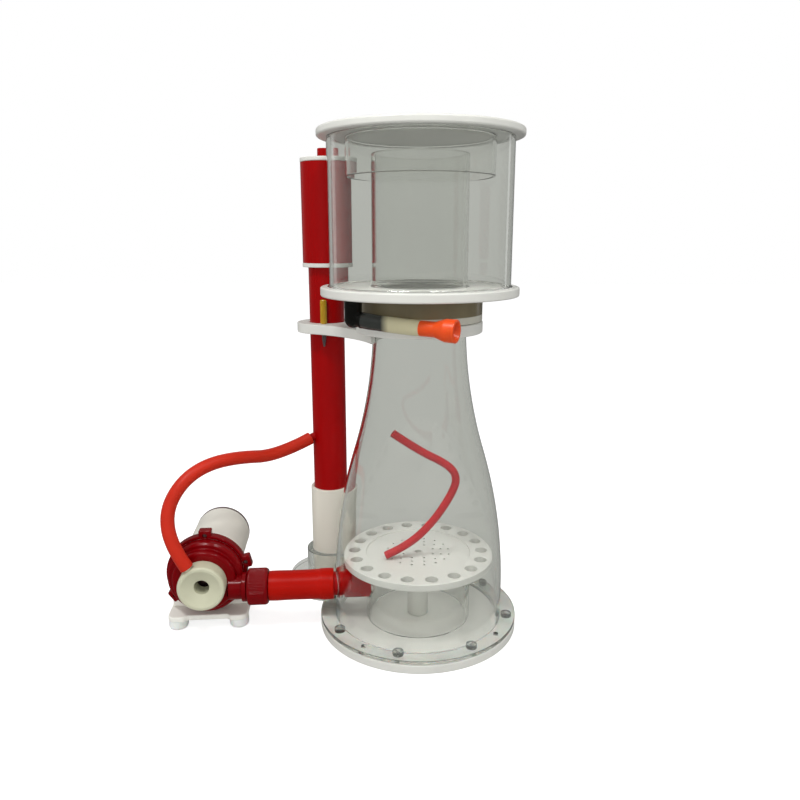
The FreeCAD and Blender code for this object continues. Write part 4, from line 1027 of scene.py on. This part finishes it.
gland_corners = [(0, 162.9), (6, 162.9, 0.2), (6, 166.5, 0.4), (5.2, 166.9, 0.2), (5.2, 171.5, 0.5),
                 (4.6, 173.5, 0.8), (2.6, 173.5, 0.5), (2.4, 170.5, 0.3), (0, 170.5)]
gland_frame = moved(PUMP_AXIS, 0, -18)
dress(lathe("cable_gland_piece", gland_corners, gland_frame, False, 96, ribbed(14, 0.35, 163.3, 166.1, 5.5)),
      "cable_gland", "black")
nut_corners = [(14.6, 50, 0.2), (20, 50, 0.8), (21.3, 51.4, 0.5), (21.4, 53, 0.2), (21.4, 69.5, 0.2),
               (21.3, 71.4, 0.5), (19.6, 74, 1.4), (14.4, 74, 0.3), (14.4, 63.3, 0.1), (14.6, 63.3, 0.1)]
dress(lathe("union_nut_piece", nut_corners, OUTLET_AXIS, True, 432, ribbed(72, 0.55, 52.2, 70.6, 21)),
      "union_nut", "crimson")


def pump_hose():
    """Silicone sleeve, swollen where it is pushed over the inlet pipe."""
    corners = [(14.05, 74.6, 0.3), (17.3, 74.6, 0.8), (17.5, 84, 8), (17.15, 104, 8), (17.3, 124, 8),
               (17.6, 133, 5), (18.4, 137, 4), (18.45, 147, 2), (17.9, 151, 0.8), (14.05, 151, 0.3)]
    return lathe("pump_hose_piece", corners, OUTLET_AXIS, True, 128, steps=6)


dress(pump_hose(), "pump_hose", "hose_red")


def bracket_outline():
    """Upright plate behind the clamp ring, round at the top; Y counts downwards from the pump's axis."""
    play = 0.05
    drop = intake["pos_m"][2] / MM - BRACKET_TOP - play
    return arc(UPRIGHT_WIDE, 0, 0, -math.pi, 0, 90) + [(UPRIGHT_WIDE, drop), (-UPRIGHT_WIDE, drop)]


back_outlines = [bracket_outline(), circle(35.5, count=128)]
# the bracket's material is a lighter copy of the white PVC, painted light
dress(plate("bracket_upright_piece", back_outlines, 48.3, 54.2, 0.8, PUMP_AXIS),
      "bracket_upright", "bracket_white_painted_light")
plate_corners = [(-47, 20, 11.5), (-27, 20, 5), (-23, 24, 5), (23, 24, 5), (27, 20, 5), (47, 20, 11.5),
                 (47, 140, 11.5), (-47, 140, 11.5)]
# the pump's frame laid level on the floor: X sideways, Y rearwards, Z up
LEVEL = frame_at((PUMP_DATUM.x, PUMP_DATUM.y, 0), UP, SIDEWAYS)
dress(plate("bracket_plate_piece", [rounded(plate_corners, steps=8)], 11.5, BRACKET_TOP, 1.5, LEVEL, 3),
      "bracket_plate", "bracket_white_painted_light")
foot_corners = [(0, 0), (11.5, 0, 4.2), (11.5, 11.45, 0.8), (0, 11.45)]
feet = [lathe("foot", foot_corners, moved(LEVEL, out, along), False, 72, steps=7)
        for along in (32, 128) for out in (-36, 36)]
feet[0].name = "bracket_feet_piece"
dress(gather(*feet), "bracket_feet", "foot_rubber")


# ---- floor and light ----

def floor():
    """Plain pale floor that glows for the camera only, except under the base; in metres."""
    half_side, drop = 6, 0.0002
    base_edge, glow_edge, glow_strength = 0.112, 0.117, 0.72
    shape = bmesh.new()
    bmesh.ops.create_grid(shape, x_segments=4, y_segments=4, size=half_side / MM)
    thing = finish_mesh("floor", shape, Matrix.Translation((0, 0, -drop)))
    material, shader, _ = new_material("floor_paper")
    tree = material.node_tree
    links = tree.links
    links.new(mix_colours(material, noise(material, 3), (0.59, 0.59, 0.59), (0.61, 0.61, 0.61)),
              shader.inputs["Base Color"])
    set_inputs(shader, {"Roughness": 0.9, "Specular IOR Level": 0.1, "Emission Color": (1, 1, 1, 1)})
    path = add_node(tree, "LightPath")
    place = add_node(tree, "TexCoord")
    far = add_node(tree, "VectorMath")
    far.operation = "LENGTH"
    links.new(place.outputs["Object"], far.inputs[0])
    beside = add_node(tree, "MapRange", From_Min=base_edge, From_Max=glow_edge, To_Max=glow_strength)
    links.new(far.outputs["Value"], beside.inputs["Value"])
    glow = add_node(tree, "Math")
    glow.operation = "MULTIPLY"
    links.new(beside.outputs["Result"], glow.inputs[1])
    links.new(path.outputs["Is Camera Ray"], glow.inputs[0])
    links.new(glow.outputs[0], shader.inputs["Emission Strength"])
    thing.data.materials.append(material)
    thing.visible_transmission = False
    thing.visible_glossy = False


def softbox(name, place, target, width, height, power):
    """A soft light aimed at a point, not seen by the camera or through clear pieces; in metres and watts."""
    data = bpy.data.lights.new(name, "AREA")
    data.shape = "RECTANGLE"
    data.size = width
    data.size_y = height
    data.energy = power
    lamp = world_object(name, data)
    lamp.location = place
    lamp.rotation_euler = (Vector(target) - Vector(place)).to_track_quat("-Z", "Y").to_euler()
    lamp.visible_camera = False
    lamp.visible_transmission = False
    return lamp


def sky_ramp(tree, height, low, middle, high):
    """A background whose grey runs from straight below over the horizon to straight above."""
    ramp = add_node(tree, "ValToRGB")
    ramp.color_ramp.elements[0].color = (*low, 1)
    ramp.color_ramp.elements[1].color = (*high, 1)
    ramp.color_ramp.elements.new(0.5).color = (*middle, 1)
    tree.links.new(height, ramp.inputs["Fac"])
    room = add_node(tree, "Background")
    tree.links.new(ramp.outputs["Color"], room.inputs["Color"])
    return room.outputs[0]


def choose(tree, factor, otherwise, when):
    """One of two backgrounds, by the kind of ray."""
    mix = add_node(tree, "MixShader")
    tree.links.new(factor, mix.inputs["Fac"])
    tree.links.new(otherwise, mix.inputs[1])
    tree.links.new(when, mix.inputs[2])
    return mix.outputs[0]


def studio():
    """White page behind, grey room in clear walls and reflections, pale light all round, and the lamps."""
    world = bpy.data.worlds.new("studio")
    bpy.context.scene.world = world
    world.use_nodes = True
    world.cycles.sampling_method = "NONE"
    tree = world.node_tree
    tree.nodes.clear()
    output = add_node(tree, "OutputWorld")
    place = add_node(tree, "TexCoord")
    split = add_node(tree, "SeparateXYZ")
    tree.links.new(place.outputs["Generated"], split.inputs[0])
    spread = add_node(tree, "MapRange", From_Min=-1, From_Max=1)
    tree.links.new(split.outputs["Z"], spread.inputs["Value"])
    height = spread.outputs["Result"]
    path = add_node(tree, "LightPath")
    scattered = add_node(tree, "Math")
    scattered.operation = "GREATER_THAN"
    scattered.inputs[1].default_value = 0.5
    tree.links.new(path.outputs["Diffuse Depth"], scattered.inputs[0])
    mirrored = sky_ramp(tree, height, (0.20, 0.20, 0.19), (0.12, 0.12, 0.12), (0.55, 0.55, 0.54))
    through = sky_ramp(tree, height, (0.50, 0.50, 0.47), (0.54, 0.545, 0.52), (0.70, 0.70, 0.68))
    seen = choose(tree, path.outputs["Is Transmission Ray"], mirrored, through)
    lighting = sky_ramp(tree, height, (0.7, 0.7, 0.7), (1.12, 1.12, 1.12), (0.38, 0.38, 0.38))
    seen = choose(tree, scattered.outputs[0], seen, lighting)
    page = add_node(tree, "Background", Color=(1, 1, 1, 1))
    seen = choose(tree, path.outputs["Is Camera Ray"], seen, page.outputs[0])
    tree.links.new(seen, output.inputs["Surface"])
    softbox("top_left", (-0.45, -0.6, 1.5), (0, 0, 0.2), 0.5, 0.14, 8.4)
    softbox("top_right", (0.45, -0.6, 1.5), (0, 0, 0.2), 0.5, 0.14, 5.6)
    softbox("edge_left", (-1.5, 1.1, 0.7), (0, 0, 0.35), 0.3, 1.1, 0.7)
    softbox("edge_right", (1.4, 1.2, 0.7), (0, 0, 0.35), 0.2, 1.1, 0.6)
    front = softbox("front", (-0.4, -2, 0.6), (0, 0, 0.25), 1.2, 0.8, 5.5)
    front.visible_glossy = False
    inside = softbox("under_plate", (0, 0, 0.079), (0, 0.0001, 0), 0.1, 0.1, 0.055)
    inside.visible_glossy = False


floor()
studio()
scene = bpy.context.scene
scene.view_settings.view_transform = "Standard"
scene.view_settings.look = "None"
scene.cycles.max_bounces = 24
scene.cycles.transmission_bounces = 20
scene.cycles.transparent_max_bounces = 24
scene.cycles.diffuse_bounces = 4
scene.cycles.glossy_bounces = 6
scene.cycles.sample_clamp_indirect = 6
scene.cycles.blur_glossy = 0.5
